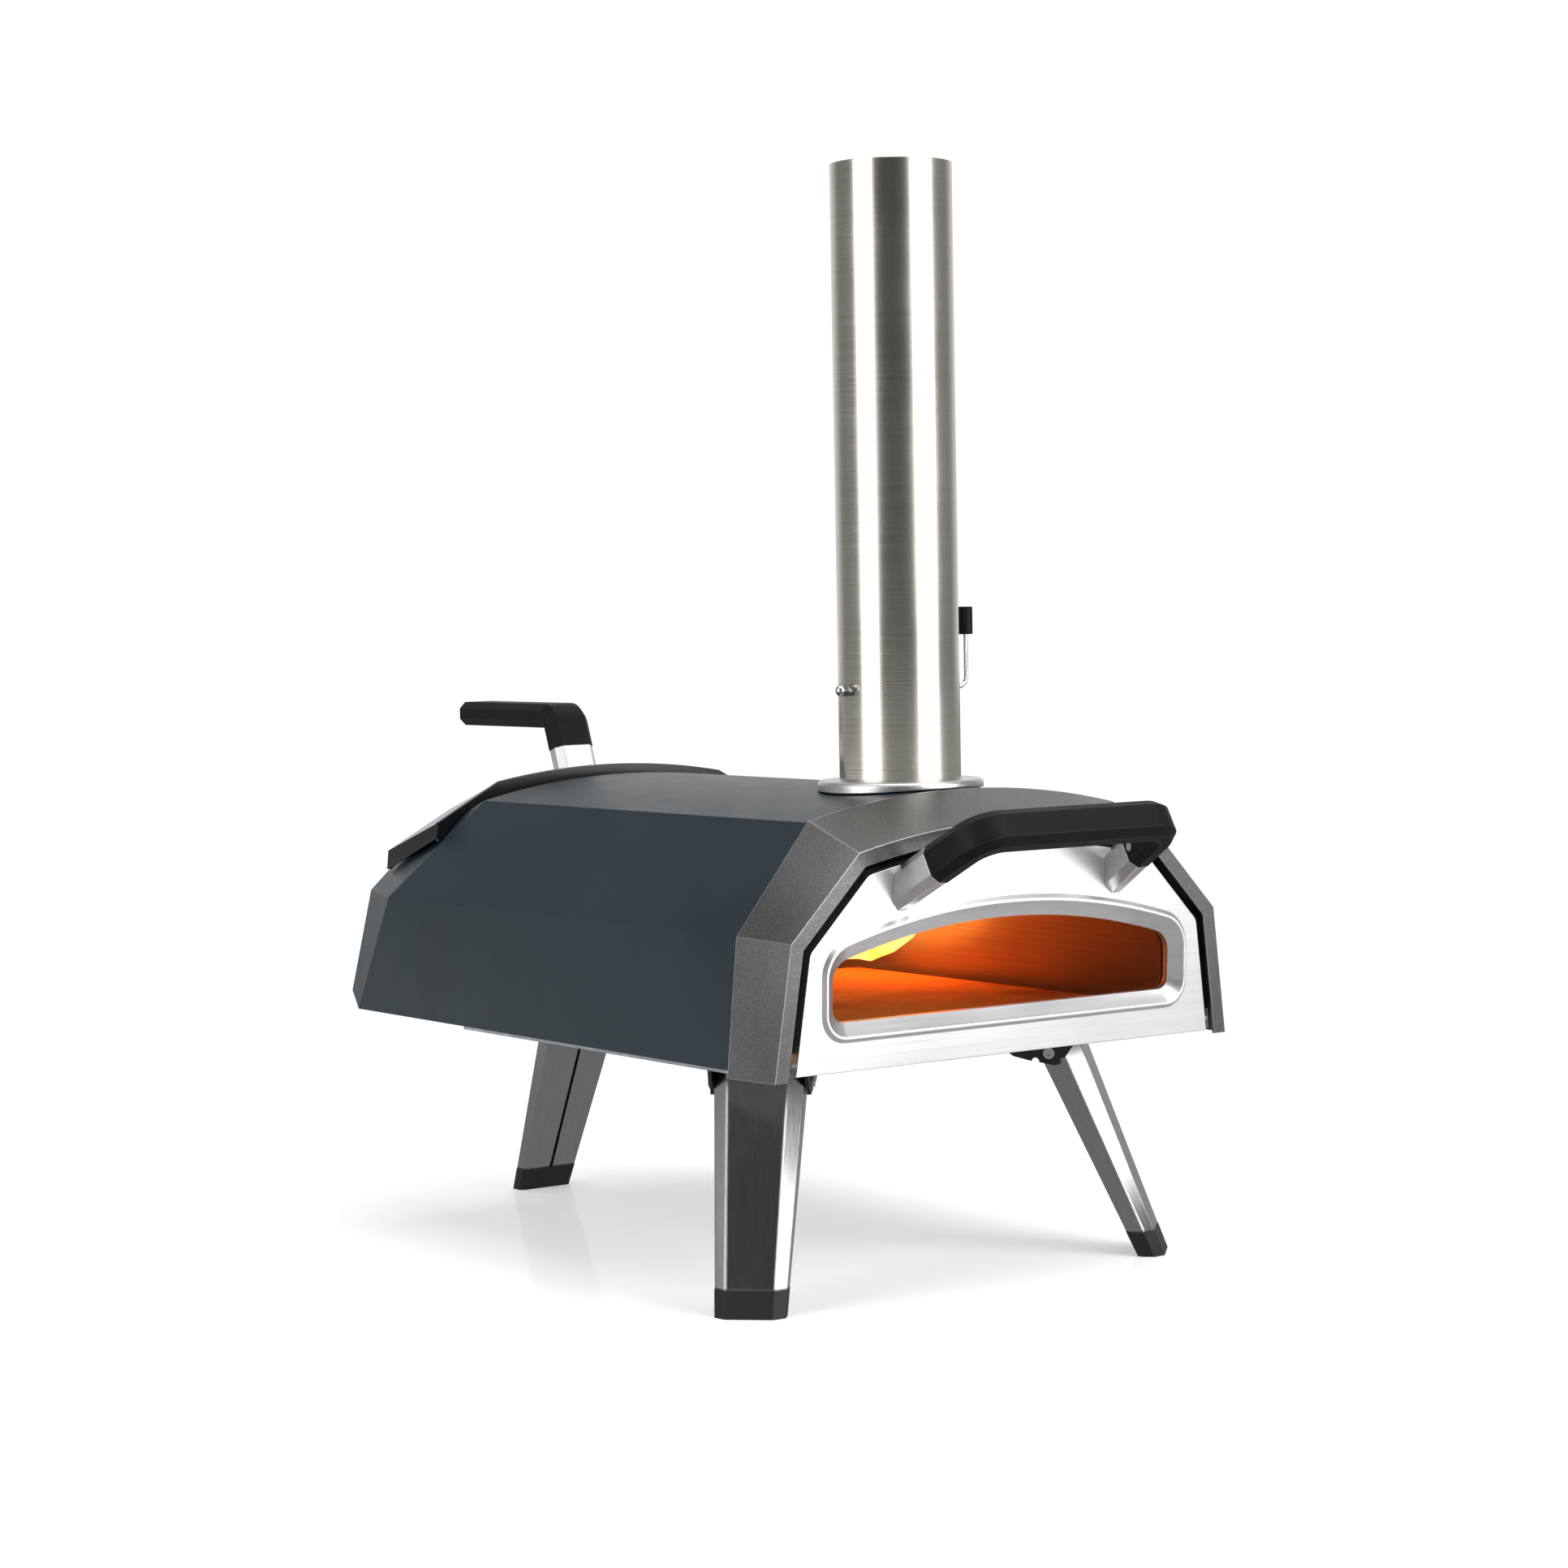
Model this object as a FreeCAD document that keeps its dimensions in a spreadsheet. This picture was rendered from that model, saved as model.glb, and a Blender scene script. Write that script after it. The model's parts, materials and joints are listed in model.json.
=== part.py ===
"""Portable wood-fired pizza oven on three folding legs, as a parametric assembly.

Frame: +X to the right seen from the door, +Y to the rear, +Z up. The design is drawn with the
door's face at Y = 0 and the ground at Z = 0, and every piece is then shifted along Y so that
the origin is the middle of the whole oven's footprint. Millimetres.
"""

import FreeCAD, Part
import Sketcher
import math
import os

Vector = FreeCAD.Vector
Rotation = FreeCAD.Rotation
Placement = FreeCAD.Placement

X_AXIS = Vector(1, 0, 0)
Y_AXIS = Vector(0, 1, 0)
Z_AXIS = Vector(0, 0, 1)

# Driving dimensions, one spreadsheet cell each.
SIZES = {
    # Whole oven
    "front_reach": 84.9,
    "rear_reach": 697.0,
    # Outer shell cross-section: half widths and heights of its bends
    "shell_half_bottom": 205.5,
    "shell_bottom": 171.0,
    "shell_half_low": 196.5,
    "shell_low": 260.0,
    "shell_half_up": 136.0,
    "shell_up": 333.5,
    "shell_crown": 349.0,
    "shell_sheet": 1.2,
    "shell_front": 46.2,
    # Where the shell's rear edge runs, from the bottom corner up to the crown
    "fold_bottom": 548.0,
    "fold_low": 513.0,
    "fold_top": 467.0,
    # Tapered rear hood
    "hood_end": 585.0,
    "hood_half_bottom": 190.0,
    "hood_bottom": 181.5,
    "hood_half_low": 171.0,
    "hood_low": 260.0,
    "hood_half_up": 139.0,
    "hood_up": 288.5,
    "hood_crown": 304.0,
    "fuel_port_half": 100.0,
    "fuel_port_front": 514.0,
    "fuel_port_rear": 563.0,
    # Front frame
    "frame_depth": 46.0,
    "frame_bottom": 166.0,
    "frame_sheet": 2.0,
    "frame_rim": 10.5,
    "frame_tilt": 2.0,
    "frame_half_bottom": 201.5,
    "frame_half_low": 188.6,
    "frame_low": 258.0,
    "frame_half_up": 132.5,
    "frame_up": 315.4,
    "frame_crown": 331.0,
    # Door
    "door_gap": 6.6,
    "door_recess": 0.8,
    "door_depth": 14.0,
    "door_sheet": 1.5,
    "door_lift": 3.0,
    "door_bend": 9.0,
    "ring_height": 2.6,
    "ring_width": 11.5,
    "window_half": 150.0,
    "window_bottom": 201.5,
    "window_crown": 263.5,
    "window_arch": 500.0,
    "window_corner": 16.0,
    "window_foot_corner": 9.0,
    "funnel_depth": 5.0,
    "glass_depth": 10.0,
    "glass_thick": 4.0,
    "hinge_height": 176.0,
    "hinge_set_back": 9.0,
    "hinge_pin": 2.5,
    # Chamber
    "liner_floor": 175.2,
    "liner_front": 30.0,
    "liner_rear": 452.0,
    "liner_sheet": 1.2,
    "insulation_gap": 26.0,
    "stone_side": 330.0,
    "stone_thick": 11.0,
    "stone_front": 62.0,
    # Chimney
    "chimney_at": 119.0,
    "chimney_outer": 43.5,
    "chimney_wall": 1.0,
    "chimney_top": 791.5,
    "flange_top": 355.0,
    "flange_radius": 59.5,
    "spigot_outer": 42.1,
    "spigot_rise": 30.0,
    "damper_height": 419.6,
    "spindle_radius": 3.0,
    "lever_radius": 1.6,
    "lever_reach": 62.0,
    "knob_radius": 5.2,
    "knob_length": 20.0,
    # Handles share one chamfered section
    "grip_thick": 18.8,
    "grip_chamfer": 5.4,
    "door_grip_width": 26.5,
    "hatch_grip_width": 36.0,
    # Door handle: angle above square to the door, and distances along its posts
    "handle_rise": 31.6,
    "handle_base": 290.0,
    "handle_post_x": 94.0,
    "handle_post_length": 34.0,
    "handle_reach": 79.5,
    "handle_corner": 20.0,
    "handle_toe_in": 8.5,
    # Fuel hatch lid: outlines of its front lip and rear edge
    "lid_front": 495.0,
    "lid_rear": 572.0,
    "lid_sheet": 2.0,
    "hatch_lean": 20.0,
    "hatch_post_y": 546.0,
    "hatch_post_z": 345.5,
    "hatch_junction": 366.5,
    "hatch_grip_height": 393.0,
    # Legs
    "pivot_height": 151.0,
    "leg_splay": 65.5,
    "leg_top_width": 63.9,
    "leg_foot_width": 48.4,
    "leg_top_thick": 29.8,
    "leg_foot_thick": 17.5,
    # How far each leg's inner face lies behind the pivot axis
    "leg_top_inner": 7.45,
    "leg_foot_inner": 3.1,
    "leg_sheet": 1.5,
    "leg_top_rise": 6.0,
    "foot_height": 18.0,
    "front_pivot_x": 132.9,
    "front_pivot_y": 110.8,
    "front_leg_turn": 135.9,
    "rear_pivot_y": 544.1,
    "cheek_thick": 2.5,
    "bolt_radius": 3.0,
}

DOC = FreeCAD.newDocument("pizza_oven")
SHEET = DOC.addObject("Spreadsheet::Sheet", "Sizes")
PIECES = []


def fill_sheet():
    """Write the driving dimensions to the spreadsheet and name each cell."""
    for row, (alias, value) in enumerate(SIZES.items(), start=1):
        SHEET.set(f"A{row}", alias)
        SHEET.set(f"B{row}", str(value))
        SHEET.setAlias(f"B{row}", alias)
    DOC.recompute()


def size(alias):
    """Read one driving dimension back from the spreadsheet."""
    return float(SHEET.get(alias))


# ---------------------------------------------------------------- outlines


class Profile:
    """Arched outline: upright sides, slanted facets and a round crown, symmetric about X = 0."""

    def __init__(self, half_bottom, bottom, half_low, low, half_up, up, crown):
        self.half_bottom = half_bottom
        self.bottom = bottom
        self.half_low = half_low
        self.low = low
        self.half_up = half_up
        self.up = up
        self.crown = crown

    def arch_radius(self):
        """Radius of the crown's arc through both upper bends."""
        rise = self.crown - self.up
        return (self.half_up ** 2 + rise ** 2) / (2 * rise)

    def inset(self, gap):
        """The outline moved inward by gap, measured square to each side."""
        side_start = Vector(self.half_bottom, self.bottom, 0)
        low_bend = Vector(self.half_low, self.low, 0)
        up_bend = Vector(self.half_up, self.up, 0)
        side = (low_bend - side_start).normalize()
        slant = (up_bend - low_bend).normalize()
        side_point = side_start + Vector(-side.y, side.x, 0) * gap
        slant_point = low_bend + Vector(-slant.y, slant.x, 0) * gap
        bottom_point = side_point + side * ((self.bottom - side_point.y) / side.y)
        cross = side.x * slant.y - side.y * slant.x
        offset = slant_point - side_point
        low_point = side_point + side * ((offset.x * slant.y - offset.y * slant.x) / cross)
        radius = self.arch_radius() - gap
        centre = Vector(0, self.crown - self.arch_radius(), 0)
        from_centre = slant_point - centre
        along = from_centre.dot(slant)
        reach = math.sqrt(along ** 2 - from_centre.dot(from_centre) + radius ** 2)
        up_point = slant_point + slant * (reach - along)
        return Profile(bottom_point.x, self.bottom, low_point.x, low_point.y,
                       up_point.x, up_point.y, self.crown - gap)

    def with_bottom(self, bottom):
        """The same outline with its sides run straight on to another bottom height."""
        slope = (self.half_low - self.half_bottom) / (self.low - self.bottom)
        half_bottom = self.half_bottom + slope * (bottom - self.bottom)
        return Profile(half_bottom, bottom, self.half_low, self.low,
                       self.half_up, self.up, self.crown)

    def vertices(self):
        """Corners from bottom left, over the crown, to bottom right."""
        right = [(self.half_up, self.up), (self.half_low, self.low),
                 (self.half_bottom, self.bottom)]
        left = [(-x, z) for x, z in reversed(right)]
        return left + right

    def crown_point(self):
        return (0.0, self.crown)

    def height_at(self, x):
        """Height of the roof at a distance x from the middle: the crown's arc, then the upper facet."""
        beyond = abs(x) - self.half_up
        if beyond > 0:
            return self.up - (self.up - self.low) * beyond / (self.half_low - self.half_up)
        radius = self.arch_radius()
        return self.crown - radius + math.sqrt(radius ** 2 - x ** 2)


def named_profile(prefix):
    """A Profile read from the cells prefix_half_bottom, prefix_bottom and so on."""
    names = ("half_bottom", "bottom", "half_low", "low", "half_up", "up", "crown")
    return Profile(*[size(f"{prefix}_{name}") for name in names])


def rounded_bends(profile, radius):
    """The profile's vertices and arcs with its four bends rounded."""
    centres = profile.inset(radius)
    arch_centre = Vector(0, profile.crown - profile.arch_radius(), 0)
    bends = [(profile.half_bottom, profile.bottom), (profile.half_low, profile.low),
             (profile.half_up, profile.up)]
    side = (Vector(*bends[1], 0) - Vector(*bends[0], 0)).normalize()
    slant = (Vector(*bends[2], 0) - Vector(*bends[1], 0)).normalize()
    side_out = Vector(side.y, -side.x, 0)
    slant_out = Vector(slant.y, -slant.x, 0)
    low_centre = Vector(centres.half_low, centres.low, 0)
    up_centre = Vector(centres.half_up, centres.up, 0)
    arch_out = (up_centre - arch_centre).normalize()
    low_middle = (side_out + slant_out).normalize()
    up_middle = (slant_out + arch_out).normalize()
    right = [up_centre + arch_out * radius, up_centre + slant_out * radius,
             low_centre + slant_out * radius, low_centre + side_out * radius,
             Vector(*bends[0], 0)]
    up_mid = up_centre + up_middle * radius
    low_mid = low_centre + low_middle * radius
    vertices = [(-point.x, point.y) for point in reversed(right)]
    vertices += [(point.x, point.y) for point in right]
    arcs = {1: (-low_mid.x, low_mid.y), 3: (-up_mid.x, up_mid.y), 4: profile.crown_point(),
            5: (up_mid.x, up_mid.y), 7: (low_mid.x, low_mid.y)}
    return vertices, arcs


def arch_band(outer, inner):
    """Closed outline of the arched band between two profiles, open at the bottom."""
    outer_points = outer.vertices()
    inner_points = list(reversed(inner.vertices()))
    arcs = {2: outer.crown_point(), len(outer_points) + 2: inner.crown_point()}
    return outer_points + inner_points, arcs


def octagon(width, thick, chamfer):
    """Corners of a rectangle width x thick, centred, with its four corners cut."""
    x = width / 2
    y = thick / 2
    return [(x - chamfer, -y), (x, chamfer - y), (x, y - chamfer), (x - chamfer, y),
            (chamfer - x, y), (-x, y - chamfer), (-x, chamfer - y), (chamfer - x, -y)]


def rounded_corners(points, radius):
    """Replace each corner of a polygon by an arc: vertices and the arcs' middle points."""
    vertices = []
    arcs = {}
    count = len(points)
    for index, point in enumerate(points):
        corner = Vector(point[0], point[1], 0)
        before = Vector(*points[index - 1], 0) - corner
        after = Vector(*points[(index + 1) % count], 0) - corner
        before.normalize()
        after.normalize()
        half_angle = before.getAngle(after) / 2
        start = corner + before * (radius / math.tan(half_angle))
        end = corner + after * (radius / math.tan(half_angle))
        bisector = (before + after).normalize()
        middle = corner + bisector * (radius / math.sin(half_angle) - radius)
        arcs[len(vertices)] = (middle.x, middle.y)
        vertices.append((start.x, start.y))
        vertices.append((end.x, end.y))
    return vertices, arcs


# ---------------------------------------------------------------- document helpers


def keep(piece, placement=None):
    """Count an object as a sub-part and remember the placement that puts it in the oven."""
    PIECES.append((piece, placement or Placement()))
    return piece


def new_body(label):
    body = DOC.addObject("PartDesign::Body", label)
    body.Label = label
    return body


def add_sketch(body, name, role, offset=0.0, tilt=0.0):
    """A sketch parallel to one of the body's own origin planes, offset along its normal.

    The normals are +Z for XY_Plane, -Y for XZ_Plane and +X for YZ_Plane. tilt turns the
    sketch about its own horizontal axis, in degrees.
    """
    plane = next(item for item in body.Origin.OriginFeatures if item.Role == role)
    sketch = body.newObject("Sketcher::SketchObject", f"{body.Label}_{name}")
    sketch.AttachmentSupport = (plane, "")
    sketch.MapMode = "FlatFace"
    sketch.AttachmentOffset = Placement(Vector(0, 0, offset), Rotation(X_AXIS, tilt))
    return sketch


def draw(sketch, vertices, arcs=None):
    """Draw a closed outline: straight edges, or an arc where arcs names a middle point."""
    arcs = arcs or {}
    count = len(vertices)
    edges = []
    for index, start in enumerate(vertices):
        end = vertices[(index + 1) % count]
        start_point = Vector(*start, 0)
        end_point = Vector(*end, 0)
        if index in arcs:
            edges.append(sketch_arc(start_point, Vector(*arcs[index], 0), end_point))
        else:
            edges.append(Part.LineSegment(start_point, end_point))
    join_edges(sketch, edges, vertices[1:] + vertices[:1])


def sketch_arc(start, middle, end):
    """Arc through three points, always drawn anticlockwise as sketches expect."""
    turn = (middle - start).cross(end - middle).z
    if turn < 0:
        return Part.Arc(end, middle, start)
    return Part.Arc(start, middle, end)


def join_edges(sketch, edges, ends):
    """Add a closed chain of edges; ends holds the point where each meets the next."""
    first = sketch.GeometryCount
    for edge in edges:
        sketch.addGeometry(edge, False)
    placed = sketch.Geometry[first:]
    constraints = []
    for index, point in enumerate(ends):
        following = (index + 1) % len(ends)
        constraints.append(Sketcher.Constraint(
            "Coincident", first + index, edge_end(placed[index], point),
            first + following, edge_end(placed[following], point)))
    sketch.addConstraint(constraints)


def edge_end(edge, point):
    """Which end of an edge lies at point: 1 for its start, 2 for its end."""
    target = Vector(point[0], point[1], 0)
    to_start = (edge.StartPoint - target).Length
    to_end = (edge.EndPoint - target).Length
    return 1 if to_start < to_end else 2


def draw_circle(sketch, x, y, radius, alias=None):
    """A circle; alias binds its radius to the spreadsheet."""
    index = sketch.addGeometry(Part.Circle(Vector(x, y, 0), Z_AXIS, radius), False)
    constraint = sketch.addConstraint(Sketcher.Constraint("Radius", index, radius))
    if alias:
        sketch.setExpression(f"Constraints[{constraint}]", f"Sizes.{alias}")


def draw_box(sketch, x_low, y_low, x_high, y_high):
    draw(sketch, [(x_low, y_low), (x_high, y_low), (x_high, y_high), (x_low, y_high)])


def pad(body, sketch, length, alias=None, back=False, symmetric=False):
    """Add material along the sketch's normal, or against it when back is set."""
    feature = body.newObject("PartDesign::Pad", f"{sketch.Name}_pad")
    feature.Profile = sketch
    feature.Length = length
    if alias:
        feature.setExpression("Length", f"Sizes.{alias}")
    feature.Reversed = back
    if symmetric:
        feature.SideType = "Symmetric"
    body.Tip = feature
    return feature


def cut(body, sketch, length, back=False, symmetric=False):
    """Remove material against the sketch's normal, or along it when back is set."""
    DOC.recompute()
    volume = body.Shape.Volume
    feature = body.newObject("PartDesign::Pocket", f"{sketch.Name}_cut")
    feature.Profile = sketch
    feature.Length = length
    feature.Reversed = back
    if symmetric:
        feature.SideType = "Symmetric"
    body.Tip = feature
    DOC.recompute()
    if body.Shape.Volume > volume - 1e-3:
        raise RuntimeError(f"{sketch.Name} removes nothing from {body.Label}")
    return feature


def loft(body, kind, first, second):
    """Additive or subtractive ruled loft between two sketches."""
    feature = body.newObject(f"PartDesign::{kind}Loft", f"{first.Name}_{kind.lower()}")
    feature.Profile = first
    feature.Sections = [second]
    feature.Ruled = True
    body.Tip = feature
    return feature


def shaped(label, shape):
    """A sub-part whose shape is made directly with Part."""
    piece = DOC.addObject("Part::Feature", label)
    piece.Label = label
    piece.Shape = shape
    return piece


def edges_along(profile, y):
    """The profile's five upper edges as Part edges in the plane Y = y."""
    points = [Vector(x, y, z) for x, z in profile.vertices()]
    return profile_edges(points, Vector(0, y, profile.crown))


def profile_edges(points, crown):
    """Edges joining six profile corners, with an arc over the crown in the middle."""
    edges = []
    for index in range(len(points) - 1):
        if index == 2:
            arc = Part.Arc(points[index], crown, points[index + 1])
            edges.append(arc.toShape())
        else:
            edges.append(Part.LineSegment(points[index], points[index + 1]).toShape())
    return edges


def ruled_sheet(outer_front, outer_rear, inner_front, inner_rear):
    """Solid sheet between four matching chains of edges."""
    faces = []
    for front, rear in zip(outer_front, outer_rear):
        faces.append(Part.makeRuledSurface(front, rear))
    for front, rear in zip(inner_front, inner_rear):
        faces.append(Part.makeRuledSurface(front, rear))
    for outer, inner in zip(outer_front, inner_front):
        faces.append(Part.makeRuledSurface(outer, inner))
    for outer, inner in zip(outer_rear, inner_rear):
        faces.append(Part.makeRuledSurface(outer, inner))
    for end in (0, -1):
        corner = 0 if end == 0 else 1
        ends = [chain[end].Vertexes[corner].Point
                for chain in (outer_front, outer_rear, inner_rear, inner_front)]
        faces.append(Part.makeRuledSurface(
            Part.LineSegment(ends[0], ends[1]).toShape(),
            Part.LineSegment(ends[3], ends[2]).toShape()))
    sewn = Part.makeShell(faces)
    sewn.sewShape()
    solid = Part.makeSolid(Part.Shell(sewn.Faces))
    if solid.Volume < 0:
        solid.reverse()
    return solid


# ---------------------------------------------------------------- front frame and shell


def tilted_front(body, name, set_back=0.0):
    """A sketch in the leaning plane of the oven's face, set back from it if asked."""
    lean = size("frame_bottom") * math.tan(math.radians(size("frame_tilt")))
    return add_sketch(body, name, "XZ_Plane", offset=-lean - set_back, tilt=size("frame_tilt"))


def front_frame():
    """Arched metal band around the door: a visor that narrows to the front, with a rim."""
    sheet = size("frame_sheet")
    shell = named_profile("shell")
    proud = 1.6
    rear_outline = shell.inset(-proud).with_bottom(size("frame_bottom"))
    front_outline = named_profile("frame")
    below = size("frame_bottom") - 12.0
    rear_inner = rear_outline.inset(sheet).with_bottom(below)
    front_inner = front_outline.inset(sheet).with_bottom(below)
    mouth = front_outline.inset(size("frame_rim")).with_bottom(below)
    body = new_body("front_frame")
    rear = add_sketch(body, "rear", "XZ_Plane", offset=-size("frame_depth"))
    draw(rear, rear_outline.vertices(), {2: rear_outline.crown_point()})
    front = tilted_front(body, "front")
    draw(front, front_outline.vertices(), {2: front_outline.crown_point()})
    loft(body, "Additive", rear, front)
    rear_hole = add_sketch(body, "rear_hole", "XZ_Plane", offset=-size("frame_depth") - 0.5)
    draw(rear_hole, rear_inner.vertices(), {2: rear_inner.crown_point()})
    front_hole = tilted_front(body, "front_hole", set_back=sheet)
    draw(front_hole, front_inner.vertices(), {2: front_inner.crown_point()})
    loft(body, "Subtractive", rear_hole, front_hole)
    mouth_sketch = tilted_front(body, "mouth", set_back=-2.0)
    draw(mouth_sketch, mouth.vertices(), {2: mouth.crown_point()})
    cut(body, mouth_sketch, 12.0)
    return keep(body)


def shell():
    """Folded outer sheet: an open-bottomed arch, trimmed at the rear along the fold."""
    outer = named_profile("shell")
    body = new_body("shell")
    section = add_sketch(body, "section", "XZ_Plane", offset=-size("shell_front"))
    vertices, arcs = arch_band(outer, outer.inset(size("shell_sheet")))
    draw(section, vertices, arcs)
    pad(body, section, 560.0 - size("shell_front"), back=True)
    trim = add_sketch(body, "trim", "YZ_Plane")
    far = 620.0
    draw(trim, [(size("fold_bottom"), size("shell_bottom") - 20),
                (size("fold_bottom"), size("shell_bottom")),
                (size("fold_low"), size("shell_low")),
                (size("fold_top"), size("shell_up")),
                (size("fold_top"), size("shell_crown") + 20),
                (far, size("shell_crown") + 20),
                (far, size("shell_bottom") - 20)])
    cut(body, trim, 500.0, symmetric=True)
    flue = add_sketch(body, "flue", "XY_Plane", offset=size("shell_crown") + 10)
    draw_circle(flue, 0, size("chimney_at"), size("spigot_outer") + 0.4)
    cut(body, flue, 60.0)
    return keep(body)


def fold_depth(z):
    """Depth of the shell's rear edge at height z, with a hair of clearance behind it."""
    corners = [(size("shell_bottom"), size("fold_bottom")), (size("shell_low"), size("fold_low")),
               (size("shell_up"), size("fold_top"))]
    clearance = 0.03
    for (z_low, y_low), (z_high, y_high) in zip(corners, corners[1:]):
        if z <= z_high:
            return y_low + (y_high - y_low) * (z - z_low) / (z_high - z_low) + clearance
    return size("fold_top") + clearance


def fold_edges(profile):
    """The rear hood's front edge, which meets the shell's trimmed edge."""
    points = [Vector(x, fold_depth(z), z) for x, z in profile.vertices()]
    return profile_edges(points, Vector(0, fold_depth(profile.crown), profile.crown))


def rear_hood():
    """Tapered rear end of the body, with the fuel port cut in its top."""
    outer_front = named_profile("shell")
    outer_rear = named_profile("hood")
    sheet = size("shell_sheet")
    solid = ruled_sheet(fold_edges(outer_front), edges_along(outer_rear, size("hood_end")),
                        fold_edges(outer_front.inset(sheet)),
                        edges_along(outer_rear.inset(sheet), size("hood_end")))
    half = size("fuel_port_half")
    port = Part.makeBox(2 * half, size("fuel_port_rear") - size("fuel_port_front"), 120,
                        Vector(-half, size("fuel_port_front"), size("hood_low")))
    return keep(shaped("rear_hood", solid.cut(port)))


def base_outline(margin):
    """Plan of the bottom: full width in front, narrower where the body tapers."""
    wide = size("shell_half_bottom") - size("shell_sheet") - 0.9 - margin
    narrow = 150.0 - margin
    return wide, narrow


def base_tray():
    """Shallow steel pan under the body, which carries the legs' brackets."""
    body = new_body("base_tray")
    wall = 1.2
    low = size("shell_bottom") - 3.0
    height = size("liner_floor") - 1.4 - low
    for name, margin in (("floor", 2.0), ("inside", 2.0 + wall)):
        wide, narrow = base_outline(margin)
        front = 24.0 + margin
        rear = 575.0 - margin
        outline = [(-wide, front), (wide, front), (wide, 396.0), (narrow, 410.0),
                   (narrow, rear), (-narrow, rear), (-narrow, 410.0), (-wide, 396.0)]
        lift = low if margin == 2.0 else low + height
        sketch = add_sketch(body, name, "XY_Plane", offset=lift)
        draw(sketch, outline)
        if margin == 2.0:
            pad(body, sketch, height)
        else:
            cut(body, sketch, height - wall)
    return keep(body)


def base_plate():
    """Flat floor plate on the pan, closing the body's bottom."""
    body = new_body("base_plate")
    wide, narrow = base_outline(0.0)
    low = size("liner_floor") - 1.3
    front = size("frame_depth") + 1.0
    rear = size("fold_bottom") - 1.5
    nose = wide - 5.0
    plate = add_sketch(body, "plate", "XY_Plane", offset=low)
    draw(plate, [(-nose, 24.0), (nose, 24.0), (nose, front), (wide, front), (wide, rear),
                 (narrow, rear), (narrow, 575.0), (-narrow, 575.0), (-narrow, rear),
                 (-wide, rear), (-wide, front), (-nose, front)])
    pad(body, plate, 1.2)
    return keep(body)


# ---------------------------------------------------------------- chamber and fuel box


def liner_profile():
    """Inner face of the cooking chamber."""
    outer = named_profile("shell").inset(size("insulation_gap"))
    floor = size("liner_floor") + size("liner_sheet")
    return outer.with_bottom(floor)


def chamber_liner():
    """Stainless arch, floor and back wall around the stone, with the flue and flame ports."""
    inner = liner_profile()
    sheet = size("liner_sheet")
    outer = inner.inset(-sheet)
    outer = outer.with_bottom(size("liner_floor"))
    body = new_body("chamber_liner")
    block = add_sketch(body, "block", "XZ_Plane", offset=-size("liner_front"))
    draw(block, outer.vertices(), {2: outer.crown_point()})
    pad(body, block, size("liner_rear") - size("liner_front"), back=True)
    hollow = add_sketch(body, "hollow", "XZ_Plane", offset=-size("liner_front"))
    draw(hollow, inner.vertices(), {2: inner.crown_point()})
    cut(body, hollow, size("liner_rear") - size("liner_front") - sheet)
    flue = add_sketch(body, "flue", "XY_Plane", offset=size("shell_crown"))
    draw_circle(flue, 0, size("chimney_at"), size("spigot_outer") + 0.4)
    cut(body, flue, 60.0)
    flame = add_sketch(body, "flame", "XZ_Plane", offset=-size("liner_rear") + 20)
    port, port_arcs = rounded_corners([(-95, 205), (95, 205), (95, 278), (-95, 278)], 8.0)
    draw(flame, port, port_arcs)
    cut(body, flame, 40.0)
    return keep(body)


def insulation_blanket():
    """Ceramic-fibre blanket between the liner and the shell."""
    outer = named_profile("shell").inset(size("shell_sheet") + 1.5).with_bottom(186.5)
    inner = liner_profile().inset(-size("liner_sheet") - 0.5).with_bottom(186.5)
    body = new_body("insulation_blanket")
    section = add_sketch(body, "section", "XZ_Plane", offset=-52.0)
    vertices, arcs = arch_band(outer, inner)
    draw(section, vertices, arcs)
    pad(body, section, size("liner_rear") - 60.0, back=True)
    flue = add_sketch(body, "flue", "XY_Plane", offset=size("shell_crown") + 5)
    draw_circle(flue, 0, size("chimney_at"), size("spigot_outer") + 1.5)
    cut(body, flue, 60.0)
    return keep(body)


def baking_stone():
    """Square cordierite stone on the chamber floor, with eased corners."""
    body = new_body("baking_stone")
    half = size("stone_side") / 2
    front = size("stone_front")
    top = size("liner_floor") + size("liner_sheet")
    outline = add_sketch(body, "outline", "XY_Plane", offset=top)
    corners = [(-half, front), (half, front), (half, front + 2 * half), (-half, front + 2 * half)]
    vertices, arcs = rounded_corners(corners, 9.0)
    draw(outline, vertices, arcs)
    slab = pad(body, outline, size("stone_thick"), alias="stone_thick")
    DOC.recompute()
    top_height = top + size("stone_thick")
    edges = [f"Edge{number}" for number, edge in enumerate(slab.Shape.Edges, start=1)
             if all(abs(v.Point.z - top_height) < 1e-6 for v in edge.Vertexes)]
    ease = body.newObject("PartDesign::Chamfer", "stone_ease")
    ease.Base = (slab, edges)
    ease.Size = 1.5
    body.Tip = ease
    return keep(body)


def open_box(label, x_half, y_low, y_high, z_low, z_high, wall):
    """Sheet-metal box, open at the top."""
    body = new_body(label)
    base = add_sketch(body, "base", "XY_Plane", offset=z_low)
    draw_box(base, -x_half, y_low, x_half, y_high)
    pad(body, base, z_high - z_low)
    inside = add_sketch(body, "inside", "XY_Plane", offset=z_high)
    draw_box(inside, -x_half + wall, y_low + wall, x_half - wall, y_high - wall)
    cut(body, inside, z_high - z_low - wall)
    return body


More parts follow.
